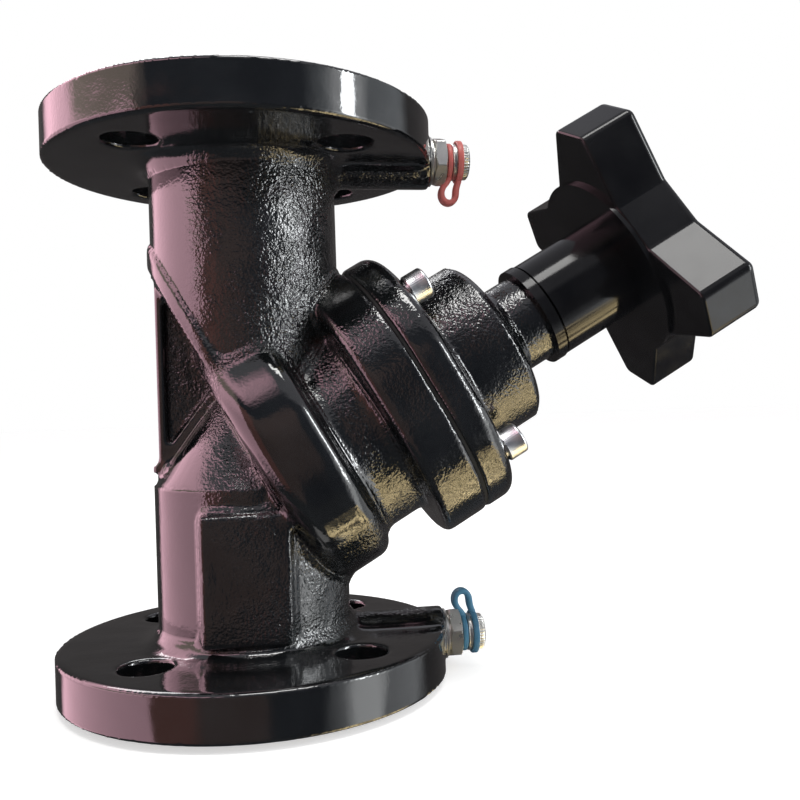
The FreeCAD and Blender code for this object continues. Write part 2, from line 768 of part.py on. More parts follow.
def make_bonnet_screws():
    """The socket-head screws of the cover joint, two on each side, as one group."""
    screw = new_body("bonnet_screw")
    tilt(screw)
    across = "Dims.screw_pitch / 2"
    aside = "Dims.screw_spread / 2"
    thickness = "Dims.bonnet_flange_thick + Dims.gasket_thick + Dims.screw_depth - 1"
    primitive(screw, "AdditiveCylinder", "shank", (across, aside, BONNET_FACE + " - (" + thickness + ")"),
              {"Radius": "Dims.screw_dia / 2", "Height": thickness})
    primitive(screw, "AdditiveCylinder", "head", (across, aside, BONNET_FACE),
              {"Radius": "Dims.screw_head_dia / 2", "Height": "Dims.screw_head"})
    primitive(screw, "SubtractivePrism", "socket", (across, aside, BONNET_FACE + " + Dims.screw_head / 2"),
              {"Circumradius": "Dims.screw_dia * 0.433", "Height": "Dims.screw_head"})
    group = doc.addObject("Part::Feature", "bonnet_screws")
    group.Label = "bonnet_screws"
    turn = screw.Placement.Rotation
    copies = []
    for step_across in (0, value("Dims.screw_pitch")):
        for step_aside in (0, value("Dims.screw_spread")):
            step = turn.multVec(FreeCAD.Vector(-step_across, -step_aside, 0))
            copies.append(screw.Shape.translated(step))
    group.Shape = Part.Compound(copies)
    group.Placement = FreeCAD.Placement()
    return screw


def make_spindle():
    """The turning stem: thread, two ring grooves, thrust collar, square and nut thread."""
    journal = "Dims.journal_dia / 2"
    groove = "Dims.ring_groove_dia / 2"
    first = BONNET_BASE + " - Dims.guide_depth + Dims.ring_first"
    second = BONNET_BASE + " - Dims.guide_depth + Dims.ring_second"
    body = turned("spindle", [
        ("Dims.limit_bore_dia / 2", "Dims.spindle_end"),
        ("Dims.thread_dia / 2", "Dims.spindle_end"),
        ("Dims.thread_dia / 2", BONNET_BASE + " - Dims.guide_depth + 1"),
        (journal, BONNET_BASE + " - Dims.guide_depth + 1"),
        (journal, first),
        (groove, first),
        (groove, first + " + Dims.ring_width"),
        (journal, first + " + Dims.ring_width"),
        (journal, second),
        (groove, second),
        (groove, second + " + Dims.ring_width"),
        (journal, second + " + Dims.ring_width"),
        (journal, COLLAR_LOW),
        ("Dims.collar_dia / 2", COLLAR_LOW),
        ("Dims.collar_dia / 2", COLLAR_TOP),
        ("Dims.stem_dia / 2", COLLAR_TOP),
        ("Dims.stem_dia / 2", "Dims.square_start"),
        ("Dims.nut_thread_dia / 2", "Dims.square_start"),
        ("Dims.nut_thread_dia / 2", "Dims.spindle_top"),
        ("Dims.limit_bore_dia / 2", "Dims.spindle_top"),
    ])
    half = "Dims.square_across / 2"
    primitive(body, "AdditiveBox", "spindle_square", ("-" + half, "-" + half, "Dims.square_start"),
              {"Length": "Dims.square_across", "Width": "Dims.square_across",
               "Height": "Dims.square_end - Dims.square_start"})
    primitive(body, "SubtractiveCylinder", "spindle_bore", ("0", "0", "Dims.spindle_end - 1"),
              {"Radius": "Dims.limit_bore_dia / 2", "Height": "Dims.spindle_top - Dims.spindle_end + 2"})


def make_spindle_rings():
    for name, offset in (("lower_stem_ring", "Dims.ring_first"), ("upper_stem_ring", "Dims.ring_second")):
        low = BONNET_BASE + " - Dims.guide_depth + " + offset
        turned(name, [
            ("Dims.ring_groove_dia / 2", low),
            ("Dims.journal_dia / 2 + Dims.journal_gap * 0.2", low),
            ("Dims.journal_dia / 2 + Dims.journal_gap * 0.2", low + " + Dims.ring_width"),
            ("Dims.ring_groove_dia / 2", low + " + Dims.ring_width"),
        ])


def make_thrust_washers():
    for name, low, bore in (("lower_thrust_washer", POCKET_FLOOR, "Dims.washer_bore"),
                            ("upper_thrust_washer", COLLAR_TOP, "Dims.upper_washer_bore")):
        turned(name, [
            (bore + " / 2", low),
            ("Dims.washer_dia / 2", low),
            ("Dims.washer_dia / 2", low + " + Dims.washer_thick"),
            (bore + " / 2", low + " + Dims.washer_thick"),
        ])


def make_gland_bush():
    turned("gland_bush", [
        ("Dims.stem_dia / 2 + Dims.journal_gap / 2", BUSH_LOW),
        ("Dims.pocket_dia / 2", BUSH_LOW),
        ("Dims.pocket_dia / 2", BUSH_TOP),
        ("Dims.stem_dia / 2 + Dims.journal_gap / 2", BUSH_TOP),
    ])


def make_limit_screw():
    """The opening limit: a rod in the spindle's bore with a socket at its top."""
    body = turned("limit_screw", [
        ("0", "Dims.spindle_end - 1"),
        ("Dims.limit_rod_dia / 2", "Dims.spindle_end - 1"),
        ("Dims.limit_rod_dia / 2", "Dims.limit_thread_start"),
        ("Dims.limit_bore_dia / 2", "Dims.limit_thread_start"),
        ("Dims.limit_bore_dia / 2", "Dims.limit_top"),
        ("0", "Dims.limit_top"),
    ])
    primitive(body, "SubtractivePrism", "limit_socket", ("0", "0", "Dims.limit_top - 3.5"),
              {"Circumradius": "Dims.limit_bore_dia * 0.289", "Height": "5"})


def make_index_ring():
    turned("index_ring", [
        ("Dims.neck_top_dia / 2", "Dims.index_start"),
        ("Dims.index_dia / 2", "Dims.index_start"),
        ("Dims.index_dia / 2", "Dims.index_start + Dims.index_thick"),
        ("Dims.neck_top_dia / 2", "Dims.index_start + Dims.index_thick"),
    ])


def make_handwheel_sleeve():
    """The plain skirt under the star, with the disc that closes the star's back."""
    body = turned("handwheel_sleeve", [
        ("Dims.sleeve_bore_dia / 2", "Dims.sleeve_start"),
        ("Dims.sleeve_dia / 2", "Dims.sleeve_start"),
        ("Dims.sleeve_dia / 2", "Dims.star_back - Dims.disc_thick"),
        ("Dims.disc_dia / 2", "Dims.star_back - Dims.disc_thick"),
        ("Dims.disc_dia / 2", "Dims.star_back"),
        ("0", "Dims.star_back"),
        ("0", "Dims.sleeve_web"),
        ("Dims.sleeve_bore_dia / 2", "Dims.sleeve_web"),
    ])
    half = "Dims.square_across / 2"
    primitive(body, "SubtractiveBox", "sleeve_square", ("-" + half, "-" + half, "Dims.square_start"),
              {"Length": "Dims.square_across", "Width": "Dims.square_across",
               "Height": "Dims.star_back - Dims.square_start + 1"})
    primitive(body, "SubtractiveCylinder", "sleeve_bore", ("0", "0", "Dims.sleeve_web - 1"),
              {"Radius": "Dims.stem_dia / 2", "Height": "Dims.square_start - Dims.sleeve_web + 1"})


def make_handwheel_star():
    body = new_body("handwheel_star")
    tilt(body)
    points = []
    for quarter in range(4):
        points += lobe(quarter)
    sketch = outline(body, "star_outline", points, "XY_Plane")
    turn = FreeCAD.Rotation(FreeCAD.Vector(0, 0, 1), value("Dims.star_clock"))
    sketch.AttachmentOffset = FreeCAD.Placement(FreeCAD.Vector(0, 0, value("Dims.star_back")), turn)
    sketch.setExpression("AttachmentOffset.Base.z", "Dims.star_back")
    sketch.setExpression("AttachmentOffset.Rotation.Angle", "Dims.star_clock")
    pad = body.newObject("PartDesign::Pad", "star_pad")
    pad.Profile = sketch
    pad.setExpression("Length", "Dims.star_thick")
    doc.recompute()
    middle = (value("Dims.star_root_reach") + value("Dims.star_reach")) / 2
    round_edges(body, "star_tips", "Dims.star_tip_round",
                lambda edge: upright(edge) and far_out(edge) > middle)
    round_edges(body, "star_roots", "Dims.star_root_round",
                lambda edge: upright(edge) and far_out(edge) < middle)
    low = value("Dims.star_back")
    high = low + value("Dims.star_thick")
    round_edges(body, "star_back_rim", "Dims.star_back_round", lambda edge: edge_at(edge, low))
    round_edges(body, "star_front_rim", "Dims.star_front_round", lambda edge: edge_at(edge, high))
    primitive(body, "SubtractiveCylinder", "star_recess",
              ("0", "0", "Dims.square_end"),
              {"Radius": "Dims.recess_dia / 2", "Height": "Dims.star_back + Dims.star_thick - Dims.square_end + 1"})
    half = "Dims.square_across / 2"
    primitive(body, "SubtractiveBox", "star_square", ("-" + half, "-" + half, "Dims.star_back - 1"),
              {"Length": "Dims.square_across", "Width": "Dims.square_across",
               "Height": "Dims.square_end - Dims.star_back + 2"})


def far_out(edge):
    point = edge.Vertexes[0].Point
    return math.hypot(point.x, point.y)


def lobe(quarter):
    """One lobe of the star: its root corner, its two tip corners and its other root corner."""
    reach = "Dims.star_reach"
    tip = "Dims.star_tip_half"
    root = "Dims.star_root_reach"
    wide = "Dims.star_root_half"
    corners = [(root, "-" + wide), (reach, "-" + tip), (reach, tip), (root, wide)]
    for _ in range(quarter):
        corners = [(minus(y), x) for x, y in corners]
    return corners


def minus(expression):
    return expression[1:] if expression.startswith("-") else "-" + expression


def make_handwheel_nut():
    body = new_body("handwheel_nut")
    tilt(body)
    primitive(body, "AdditivePrism", "nut_hex", ("0", "0", "Dims.square_end"),
              {"Circumradius": "Dims.nut_across / cos(30) / 2", "Height": "Dims.nut_thick"})
    primitive(body, "SubtractiveCylinder", "nut_bore", ("0", "0", "Dims.square_end - 1"),
              {"Radius": "Dims.nut_thread_dia / 2", "Height": "Dims.nut_thick + 2"})


def make_handwheel_cap():
    front = "Dims.star_back + Dims.star_thick"
    turned("handwheel_cap", [
        ("0", front + " - Dims.cap_thick"),
        ("Dims.recess_dia / 2", front + " - Dims.cap_thick"),
        ("Dims.recess_dia / 2", front + " - 0.4"),
        ("Dims.recess_dia / 2 - 1", front + " + 0.2"),
        ("0", front + " + 0.2"),
    ])


RINGS_START = "Dims.point_seat + Dims.hex_thick + Dims.ring_gap_width"
CAP_START = RINGS_START + " + Dims.strap_width"
SECOND_RING = CAP_START + " + Dims.strap_gap"


def make_test_point(prefix, height):
    """One measuring nipple: threaded body with hexagon, sealing ring, needle seal, strap and cap."""
    body = new_body(prefix + "_test_nipple")
    lay_out(body, height)
    primitive(body, "AdditivePrism", prefix + "_hexagon", ("0", "0", "Dims.point_seat"),
              {"Circumradius": "Dims.hex_across / cos(30) / 2", "Height": "Dims.hex_thick"}, angle=30)
    revolve(body, prefix + "_nipple", [
        ("0", "Dims.point_thread_start + 2"),
        ("Dims.point_thread_dia / 2", "Dims.point_thread_start + 2"),
        ("Dims.point_thread_dia / 2", "Dims.point_seat + 1"),
        ("Dims.nipple_dia / 2", "Dims.point_seat + 1"),
        ("Dims.nipple_dia / 2", CAP_START),
        ("Dims.nipple_dia / 2 - 1.5", CAP_START),
        ("Dims.nipple_dia / 2 - 1.5", "Dims.point_seat + Dims.nipple_length"),
        ("0", "Dims.point_seat + Dims.nipple_length"),
    ])
    primitive(body, "SubtractiveCylinder", prefix + "_needle_way", ("0", "0", "Dims.point_thread_start + 1"),
              {"Radius": "Dims.needle_dia / 2", "Height": "Dims.point_seat"})
    primitive(body, "SubtractiveCylinder", prefix + "_seal_pocket", ("0", "0", "Dims.point_seat + 5"),
              {"Radius": "Dims.needle_dia", "Height": "Dims.nipple_length"})
    bind_flat(prefix + "_needle_seal", height, "Dims.needle_dia / 2 - 0.9", "Dims.needle_dia",
              "Dims.point_seat + 5", "Dims.point_seat + Dims.nipple_length - 1")
    bind_flat(prefix + "_nipple_ring", height, "Dims.nipple_dia / 2", "Dims.hex_across / 2 - 1.2",
              "Dims.point_seat + Dims.hex_thick", RINGS_START)
    make_strap(prefix, height)
    make_point_cap(prefix, height)


def bind_flat(name, height, inner, outer, low, high):
    """A plain ring about the measuring point's axis."""
    body = new_body(name)
    lay_out(body, height)
    revolve(body, name + "_turn", [(inner, low), (outer, low), (outer, high), (inner, high)])
    return body


def bind_disc(name, height, outer, low, high):
    """A plain disc on the measuring point's axis."""
    body = new_body(name)
    lay_out(body, height)
    revolve(body, name + "_turn", [("0", low), (outer, low), (outer, high), ("0", high)])
    return body


def make_strap(prefix, height):
    """The coloured strap: one ring on the nipple, one under the cap's head, and the loop between."""
    name = prefix + "_cap_strap"
    body = new_body(name)
    lay_out(body, height)
    inner = "Dims.nipple_dia / 2 + 0.1"
    outer = "Dims.strap_dia / 2"
    revolve(body, name + "_ring", [(inner, RINGS_START), (outer, RINGS_START),
                                   (outer, CAP_START), (inner, CAP_START)])
    width = "Dims.strap_width * 2 + Dims.strap_gap"
    start = "Dims.strap_dia / 2 - 1.5" if prefix == "upper" else "-Dims.loop_reach"
    primitive(body, "AdditiveBox", name + "_tongue",
              (start, "-Dims.loop_width / 2", RINGS_START),
              {"Length": "Dims.loop_reach - Dims.strap_dia / 2 + 1.5", "Width": "Dims.loop_width",
               "Height": width})
    revolve(body, name + "_second", [(inner + " + 1.5", SECOND_RING), (outer, SECOND_RING),
                                     (outer, SECOND_RING + " + Dims.strap_width"),
                                     (inner + " + 1.5", SECOND_RING + " + Dims.strap_width")])
    hole = primitive(body, "SubtractiveBox", name + "_eye",
                     (start + (" + 2.6" if prefix == "upper" else " + 1.6"), "-Dims.loop_width / 2 + 2",
                      RINGS_START + " - 1"),
                     {"Length": "Dims.loop_reach - Dims.strap_dia / 2 - 2.7", "Width": "Dims.loop_width - 4",
                      "Height": width + " + 2"})
    return hole


def make_point_cap(prefix, height):
    name = prefix + "_test_cap"
    body = new_body(name)
    lay_out(body, height)
    inner = "Dims.nipple_dia / 2 - 1.5 + 0.05"
    collar = "Dims.nipple_dia / 2 + 1.4"
    head = "Dims.point_cap_dia / 2"
    low = CAP_START + " + 0.1"
    step = SECOND_RING + " + Dims.strap_width + 0.2"
    seal_low = "Dims.point_seat + Dims.nipple_length + 0.1"
    floor = seal_low + " + Dims.cap_seal_thick"
    bind_disc(prefix + "_cap_seal", height, inner + " - 0.15", seal_low, floor)
    revolve(body, name + "_turn", [
        (inner, low), (collar, low), (collar, step), (head, step),
        (head, "Dims.point_cap_end - 0.8"), (head + " - 0.8", "Dims.point_cap_end"),
        ("0", "Dims.point_cap_end"), ("0", floor), (inner, floor),
    ])
    return body


NODES = [
    "valve_body", "seat_ring", "throttle_cone", "plug_seal", "plug_carrier", "bonnet_gasket", "bonnet",
    "bonnet_screws", "spindle", "lower_stem_ring", "upper_stem_ring", "lower_thrust_washer",
    "upper_thrust_washer", "gland_bush", "limit_screw", "index_ring", "handwheel_sleeve",
    "handwheel_star", "handwheel_nut", "handwheel_cap",
    "upper_test_nipple", "upper_needle_seal", "upper_nipple_ring", "upper_cap_strap", "upper_test_cap",
    "upper_cap_seal",
    "lower_test_nipple", "lower_needle_seal", "lower_nipple_ring", "lower_cap_strap", "lower_test_cap",
    "lower_cap_seal",
]

make_valve_body()
make_seat_ring()
make_throttle_cone()
make_plug_seal()
make_plug_carrier()
make_bonnet_gasket()
make_bonnet()
make_bonnet_screws()
make_spindle()
make_spindle_rings()
make_thrust_washers()
make_gland_bush()
make_limit_screw()
make_index_ring()
make_handwheel_sleeve()
make_handwheel_star()
make_handwheel_nut()
make_handwheel_cap()
make_test_point("upper", TOP_POINT)
make_test_point("lower", LOW_POINT)
doc.recompute()

for item in doc.Objects:
    faults = [word for word in item.State if word in ("Invalid", "Error")]
    if faults:
        raise RuntimeError("%s is %s" % (item.Label, faults))

labelled = {item.Label: item for item in doc.Objects}
for node in NODES:
    shape = labelled[node].Shape
    if shape.isNull() or not shape.isValid():
        raise RuntimeError(node + " has no valid shape")

for node in NODES:
    shape = labelled[node].Shape
    shape.exportStep("parts/" + node + ".step")
    print("%-22s %9.1f mm3  %d solid(s)" % (node, shape.Volume, len(shape.Solids)))
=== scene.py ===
import bmesh
import bpy
import json
import math
import numpy as np
from mathutils import Matrix, Vector


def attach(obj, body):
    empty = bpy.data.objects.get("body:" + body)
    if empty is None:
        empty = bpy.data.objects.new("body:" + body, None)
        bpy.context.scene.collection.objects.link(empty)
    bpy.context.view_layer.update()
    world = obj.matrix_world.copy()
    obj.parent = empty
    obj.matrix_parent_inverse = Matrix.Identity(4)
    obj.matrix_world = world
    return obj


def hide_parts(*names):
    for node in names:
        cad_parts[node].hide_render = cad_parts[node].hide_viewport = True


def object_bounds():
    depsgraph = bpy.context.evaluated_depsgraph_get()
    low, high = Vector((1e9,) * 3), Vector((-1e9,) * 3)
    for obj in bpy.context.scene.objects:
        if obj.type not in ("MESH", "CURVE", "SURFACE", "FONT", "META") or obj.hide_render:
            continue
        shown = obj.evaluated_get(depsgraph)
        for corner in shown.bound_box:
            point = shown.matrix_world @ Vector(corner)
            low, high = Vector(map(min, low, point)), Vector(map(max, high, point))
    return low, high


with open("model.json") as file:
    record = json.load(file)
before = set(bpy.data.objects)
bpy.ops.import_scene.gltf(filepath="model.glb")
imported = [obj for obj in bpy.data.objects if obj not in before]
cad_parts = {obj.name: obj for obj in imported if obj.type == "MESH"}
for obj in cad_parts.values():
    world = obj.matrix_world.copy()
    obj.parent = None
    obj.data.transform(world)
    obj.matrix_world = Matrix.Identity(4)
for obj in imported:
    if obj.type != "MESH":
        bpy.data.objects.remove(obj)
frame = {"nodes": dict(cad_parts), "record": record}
cad_low, cad_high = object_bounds()

# Metres. Origin at the centre of the lower flange's gasket face, Z up the pipe axis,
# X in the stem plane towards the handwheel, the camera on the -Y side.
MM = 0.001
FACE_TO_FACE = 208 * MM
STEM_CROSS = 70.5 * MM
STEM_TILT = math.radians(60.0)
STEM = np.array((math.sin(STEM_TILT), 0.0, math.cos(STEM_TILT)))
ACROSS = np.array((math.cos(STEM_TILT), 0.0, -math.sin(STEM_TILT)))
STEM_FOOT = np.array((0.0, 0.0, STEM_CROSS))

# The viewpoint, from a fit to the four flange rims.
CAMERA_PLACE = (0.00559, -0.33094, 0.10082)
CAMERA_RIGHT = (0.98773, -0.15282, -0.03228)
CAMERA_FORWARD = (0.15307, 0.98820, 0.00541)
LENS_MM = 39.36
SENSOR_MM = 36.0

# Name, place, aim, width and height, watts, colour.
LAMPS = [
    ("overhead_lamp", (0.14, -0.34, 1.15), (0.1, 0.0, 0.12), (0.55, 0.34), 4.8, (1.0, 0.99, 0.97)),
    ("window_lamp", (0.85, -0.45, 0.35), (0.04, 0.0, 0.11), (0.13, 0.6), 2.9, (0.95, 0.98, 1.0)),
    ("back_lamp", (-0.3, 0.8, 0.9), (0.04, 0.0, 0.11), (0.6, 0.3), 2.4, (1.0, 1.0, 1.0)),
]
SKY_SEEN = 1.0
SKY_LIGHT = 0.55
FLOOR_HALF = 6.0
FLOOR_GLOW = 0.55

# What the photograph's room puts into the gloss.
ROSE = (0.84, 0.50, 0.59)
BROWN = (0.17, 0.08, 0.07)
UMBER = (0.085, 0.062, 0.058)
TAUPE = (0.27, 0.22, 0.19)
SHADE = (0.022, 0.024, 0.030)
DUSK = (0.026, 0.024, 0.024)
LOW_DARK = (0.03, 0.032, 0.035)
GOLD = (2.20, 1.75, 0.95)
TOP_GREY = (0.12, 0.12, 0.13)
LOW_WALL = (0.28, 0.29, 0.30)
LOW_PANE = (0.85, 0.87, 0.88)
HIGH_WALL = (0.16, 0.17, 0.18)
HIGH_PANE = (0.45, 0.46, 0.47)
LOW_GLOW = 2.4
HIGH_GLOW = 3.6

# How far the room's edges wander, and the heights (the sine of the elevation) of its bands.
RAGGED = 0.13
RAGGED_HEIGHT_SHARE = 0.25
GLOW_RISE = (-0.10, 0.15)
HIGH_BAND = (0.27, 0.32)
CEILING_BAND = (0.48, 0.62)
TOP_BAND = (0.70, 0.80)
LOW_BAND = (-0.58, -0.50)


def window_side(wall, pane):
    """The room's right side by compass: the dark front, a wall and its window, the dark back."""
    lit = [(50, wall), (57, pane), (72, pane), (79, wall), (104, wall)]
    return [(36, SHADE)] + lit + [(116, DUSK), (180, DUSK)]


# Colours by compass direction, in degrees from the camera's side (-Y) towards the handwheel (+X).
ROSE_EDGE = [(-180, DUSK), (-141, DUSK), (-133, ROSE)]
LOW_FRONT = [(-60, ROSE), (-56, BROWN), (-38, BROWN), (-30, UMBER), (2, UMBER), (9, SHADE)]
HIGH_FRONT = [(-108, ROSE), (-102, TAUPE), (-62, TAUPE), (-50, SHADE)]
LOW_ROOM = ROSE_EDGE + LOW_FRONT + window_side(LOW_WALL, LOW_PANE)
HIGH_ROOM = ROSE_EDGE + HIGH_FRONT + window_side(HIGH_WALL, HIGH_PANE)


# Shader helpers

def node(tree, kind, **values):
    made = tree.nodes.new("ShaderNode" + kind)
    for key, value in values.items():
        setattr(made, key, value)
    return made


def new_material(name):
    mat = bpy.data.materials.new(name)
    mat.use_nodes = True
    return mat, mat.node_tree, mat.node_tree.nodes["Principled BSDF"]


def set_input(shader, name, value):
    shader.inputs[name].default_value = value


def noise(tree, coords, scale, detail=2.0, roughness=0.5):
    made = node(tree, "TexNoise")
    set_input(made, "Scale", scale)
    set_input(made, "Detail", detail)
    set_input(made, "Roughness", roughness)
    tree.links.new(coords, made.inputs["Vector"])
    return made.outputs["Fac"]


def remap(tree, value, low, high, to_low, to_high):
    made = node(tree, "MapRange")
    for key, number in (("From Min", low), ("From Max", high), ("To Min", to_low), ("To Max", to_high)):
        set_input(made, key, number)
    tree.links.new(value, made.inputs["Value"])
    return made.outputs[0]


def step_up(tree, value, low, high):
    return remap(tree, value, low, high, 0.0, 1.0)


def step_down(tree, value, low, high):
    return remap(tree, value, low, high, 1.0, 0.0)


def math_node(tree, operation, first, second):
    made = node(tree, "Math", operation=operation)
    for index, item in enumerate((first, second)):
        if isinstance(item, float):
            made.inputs[index].default_value = item
        else:
            tree.links.new(item, made.inputs[index])
    return made.outputs[0]


def blend_colours(tree, factor, first, second):
    """Goes from the first colour to the second; each is a tuple or another node's output."""
    made = node(tree, "Mix", data_type="RGBA")
    tree.links.new(factor, made.inputs[0])
    for index, colour in ((6, first), (7, second)):
        if isinstance(colour, tuple):
            made.inputs[index].default_value = colour + (1.0,)
        else:
            tree.links.new(colour, made.inputs[index])
    return made.outputs[2]


def mix_shader(tree, factor, first, second):
    made = node(tree, "MixShader")
    tree.links.new(factor, made.inputs[0])
    tree.links.new(first.outputs[0], made.inputs[1])
    tree.links.new(second.outputs[0], made.inputs[2])
    return made


def bump(tree, shader, height, strength, distance):
    """One relief for the surface and for the clear coat over it."""
    made = node(tree, "Bump")
    set_input(made, "Strength", strength)
    set_input(made, "Distance", distance)
    tree.links.new(height, made.inputs["Height"])
    tree.links.new(made.outputs[0], shader.inputs["Normal"])
    tree.links.new(made.outputs[0], shader.inputs["Coat Normal"])


# Camera and surroundings

def make_camera():
    right = Vector(CAMERA_RIGHT)
    forward = Vector(CAMERA_FORWARD).normalized()
    up = right.cross(forward).normalized()
    right = forward.cross(up).normalized()
    data = bpy.data.cameras.new("Camera")
    data.sensor_fit = "AUTO"
    data.sensor_width = SENSOR_MM
    data.lens = LENS_MM
    data.clip_start = 0.01
    data.clip_end = 50.0
    camera = bpy.data.objects.new("Camera", data)
    bpy.context.scene.collection.objects.link(camera)
    turn = Matrix((right, up, -forward)).transposed().to_4x4()
    camera.matrix_world = Matrix.Translation(CAMERA_PLACE) @ turn
    bpy.context.scene.camera = camera


def make_lamps():
    for name, place, target, size, power, colour in LAMPS:
        data = bpy.data.lights.new(name, "AREA")
        data.shape = "RECTANGLE"
        data.size, data.size_y = size
        data.energy = power
        data.color = colour
        lamp = bpy.data.objects.new(name, data)
        bpy.context.scene.collection.objects.link(lamp)
        aim = Vector(target) - Vector(place)
        lamp.matrix_world = Matrix.Translation(place) @ aim.to_track_quat("-Z", "Y").to_matrix().to_4x4()


def make_world():
    """White for the camera and as plain light; only the gloss sees the room."""
    world = bpy.data.worlds.new("Room")
    bpy.context.scene.world = world
    world.use_nodes = True
    tree = world.node_tree
    tree.nodes.clear()
    path = node(tree, "LightPath")
    mirror = background(tree, LOW_GLOW)
    colour, height = room_colour(tree)
    tree.links.new(colour, mirror.inputs["Color"])
    tree.links.new(remap(tree, height, *GLOW_RISE, LOW_GLOW, HIGH_GLOW), mirror.inputs["Strength"])
    unseen = mix_shader(tree, path.outputs["Is Glossy Ray"], background(tree, SKY_LIGHT), mirror)
    whole = mix_shader(tree, path.outputs["Is Camera Ray"], unseen, background(tree, SKY_SEEN))
    out = node(tree, "OutputWorld")
    tree.links.new(whole.outputs[0], out.inputs[0])


def background(tree, strength):
    made = node(tree, "Background")
    set_input(made, "Color", (1.0, 1.0, 1.0, 1.0))
    set_input(made, "Strength", strength)
    return made


def compass_ramp(tree, turn, stops):
    ramp = node(tree, "ValToRGB")
    while len(ramp.color_ramp.elements) < len(stops):
        ramp.color_ramp.elements.new(0.5)
    for element, (degrees, colour) in zip(ramp.color_ramp.elements, stops):
        element.position = (degrees + 180) / 360
        element.color = colour + (1.0,)
    tree.links.new(turn, ramp.inputs[0])
    return ramp.outputs[0]


def room_colour(tree):
    """The room's colour by direction, with uneven edges, and the direction's height."""
    direction = node(tree, "TexCoord").outputs["Generated"]
    split = node(tree, "SeparateXYZ")
    tree.links.new(direction, split.inputs[0])
    right = split.outputs["X"]
    back = split.outputs["Y"]
    height = split.outputs["Z"]
    ragged = remap(tree, noise(tree, direction, 3.5, 5.0, 0.65), 0.0, 1.0, -RAGGED, RAGGED)
    compass = math_node(tree, "ARCTAN2", right, math_node(tree, "MULTIPLY", back, -1.0))
    turn = step_up(tree, math_node(tree, "ADD", compass, ragged), -math.pi, math.pi)
    uneven = math_node(tree, "MULTIPLY", ragged, RAGGED_HEIGHT_SHARE)
    band = step_up(tree, math_node(tree, "ADD", height, uneven), *HIGH_BAND)
    low_colour = compass_ramp(tree, turn, LOW_ROOM)
    high_colour = compass_ramp(tree, turn, HIGH_ROOM)
    colour = blend_colours(tree, band, low_colour, high_colour)
    under = golden_patch(tree, direction, right, back, ragged)
    colour = blend_colours(tree, step_down(tree, height, *LOW_BAND), colour, under)
    over = ceiling_colour(tree, right, height)
    return blend_colours(tree, step_up(tree, height, *CEILING_BAND), colour, over), height


def golden_patch(tree, direction, right, back, ragged):
    """What lies low in the room: dark, with a broken golden patch on the right."""
    broken = step_up(tree, noise(tree, direction, 11.0, 5.0, 0.65), 0.45, 0.56)
    beside = step_up(tree, right, 0.30, 0.45)
    depth = math_node(tree, "ADD", back, ragged)
    span = math_node(tree, "MULTIPLY", step_up(tree, depth, -0.50, -0.40), step_down(tree, depth, 0.24, 0.32))
    patch = math_node(tree, "MULTIPLY", span, math_node(tree, "MULTIPLY", broken, beside))
    return blend_colours(tree, patch, LOW_DARK, GOLD)


def ceiling_colour(tree, right, height):
    """Rose on the left, grey on the right and at the very top."""
    sides = blend_colours(tree, step_up(tree, right, -0.45, -0.20), ROSE, TOP_GREY)
    return blend_colours(tree, step_up(tree, height, *TOP_BAND), sides, TOP_GREY)


def emission(tree, strength):
    made = node(tree, "Emission")
    set_input(made, "Strength", strength)
    return made


def make_floor():
    """The white ground: it keeps the valve's shadow, and the gloss looks past it into the room."""
    mesh = bpy.data.meshes.new("floor")
    corners = [(-1, -1), (1, -1), (1, 1), (-1, 1)]
    places = [(x * FLOOR_HALF, y * FLOOR_HALF, 0.0) for x, y in corners]
    mesh.from_pydata(places, [], [(0, 1, 2, 3)])
    floor = bpy.data.objects.new("floor", mesh)
    bpy.context.scene.collection.objects.link(floor)
    mat, tree, shader = new_material("floor_white")
    set_input(shader, "Base Color", (0.80, 0.80, 0.80, 1.0))
    set_input(shader, "Roughness", 0.9)
    set_input(shader, "Specular IOR Level", 0.1)
    path = node(tree, "LightPath")
    glow = mix_shader(tree, path.outputs["Is Camera Ray"], emission(tree, 0.0), emission(tree, FLOOR_GLOW))
    both = node(tree, "AddShader")
    tree.links.new(shader.outputs[0], both.inputs[0])
    tree.links.new(glow.outputs[0], both.inputs[1])
    tree.links.new(both.outputs[0], tree.nodes["Material Output"].inputs["Surface"])
    mesh.materials.append(mat)
    floor.visible_glossy = False


# Materials

def black_enamel():
    """Thick gloss enamel over a sand-cast skin: the grain follows the mesh's own grain weight."""
    mat, tree, shader = new_material("black_enamel")
    coords = node(tree, "TexCoord").outputs["Object"]
    weight = node(tree, "Attribute", attribute_name="grain").outputs["Fac"]
    patches = remap(tree, noise(tree, coords, 55.0), 0.40, 0.60, 0.35, 1.0)
    fine = math_node(tree, "MULTIPLY", noise(tree, coords, 1150.0, 1.0), 0.8)
    pits = noise(tree, coords, 520.0)
    grain = math_node(tree, "MULTIPLY", math_node(tree, "ADD", fine, pits), patches)
    sag = math_node(tree, "MULTIPLY", noise(tree, coords, 60.0, 1.0), 0.22)
    relief = math_node(tree, "ADD", math_node(tree, "MULTIPLY", grain, weight), sag)
    bump(tree, shader, relief, 0.75, 0.0016)
    tone = step_up(tree, noise(tree, coords, 60.0, 3.0), 0.35, 0.7)
    colour = blend_colours(tree, tone, (0.004, 0.0045, 0.005), (0.009, 0.010, 0.011))
    tree.links.new(colour, shader.inputs["Base Color"])
    rough = remap(tree, noise(tree, coords, 250.0), 0.3, 0.7, 0.04, 0.12)
    tree.links.new(rough, shader.inputs["Roughness"])
    set_input(shader, "Specular IOR Level", 0.8)
    set_input(shader, "Coat Weight", 0.6)
    set_input(shader, "Coat Roughness", 0.05)
    return mat


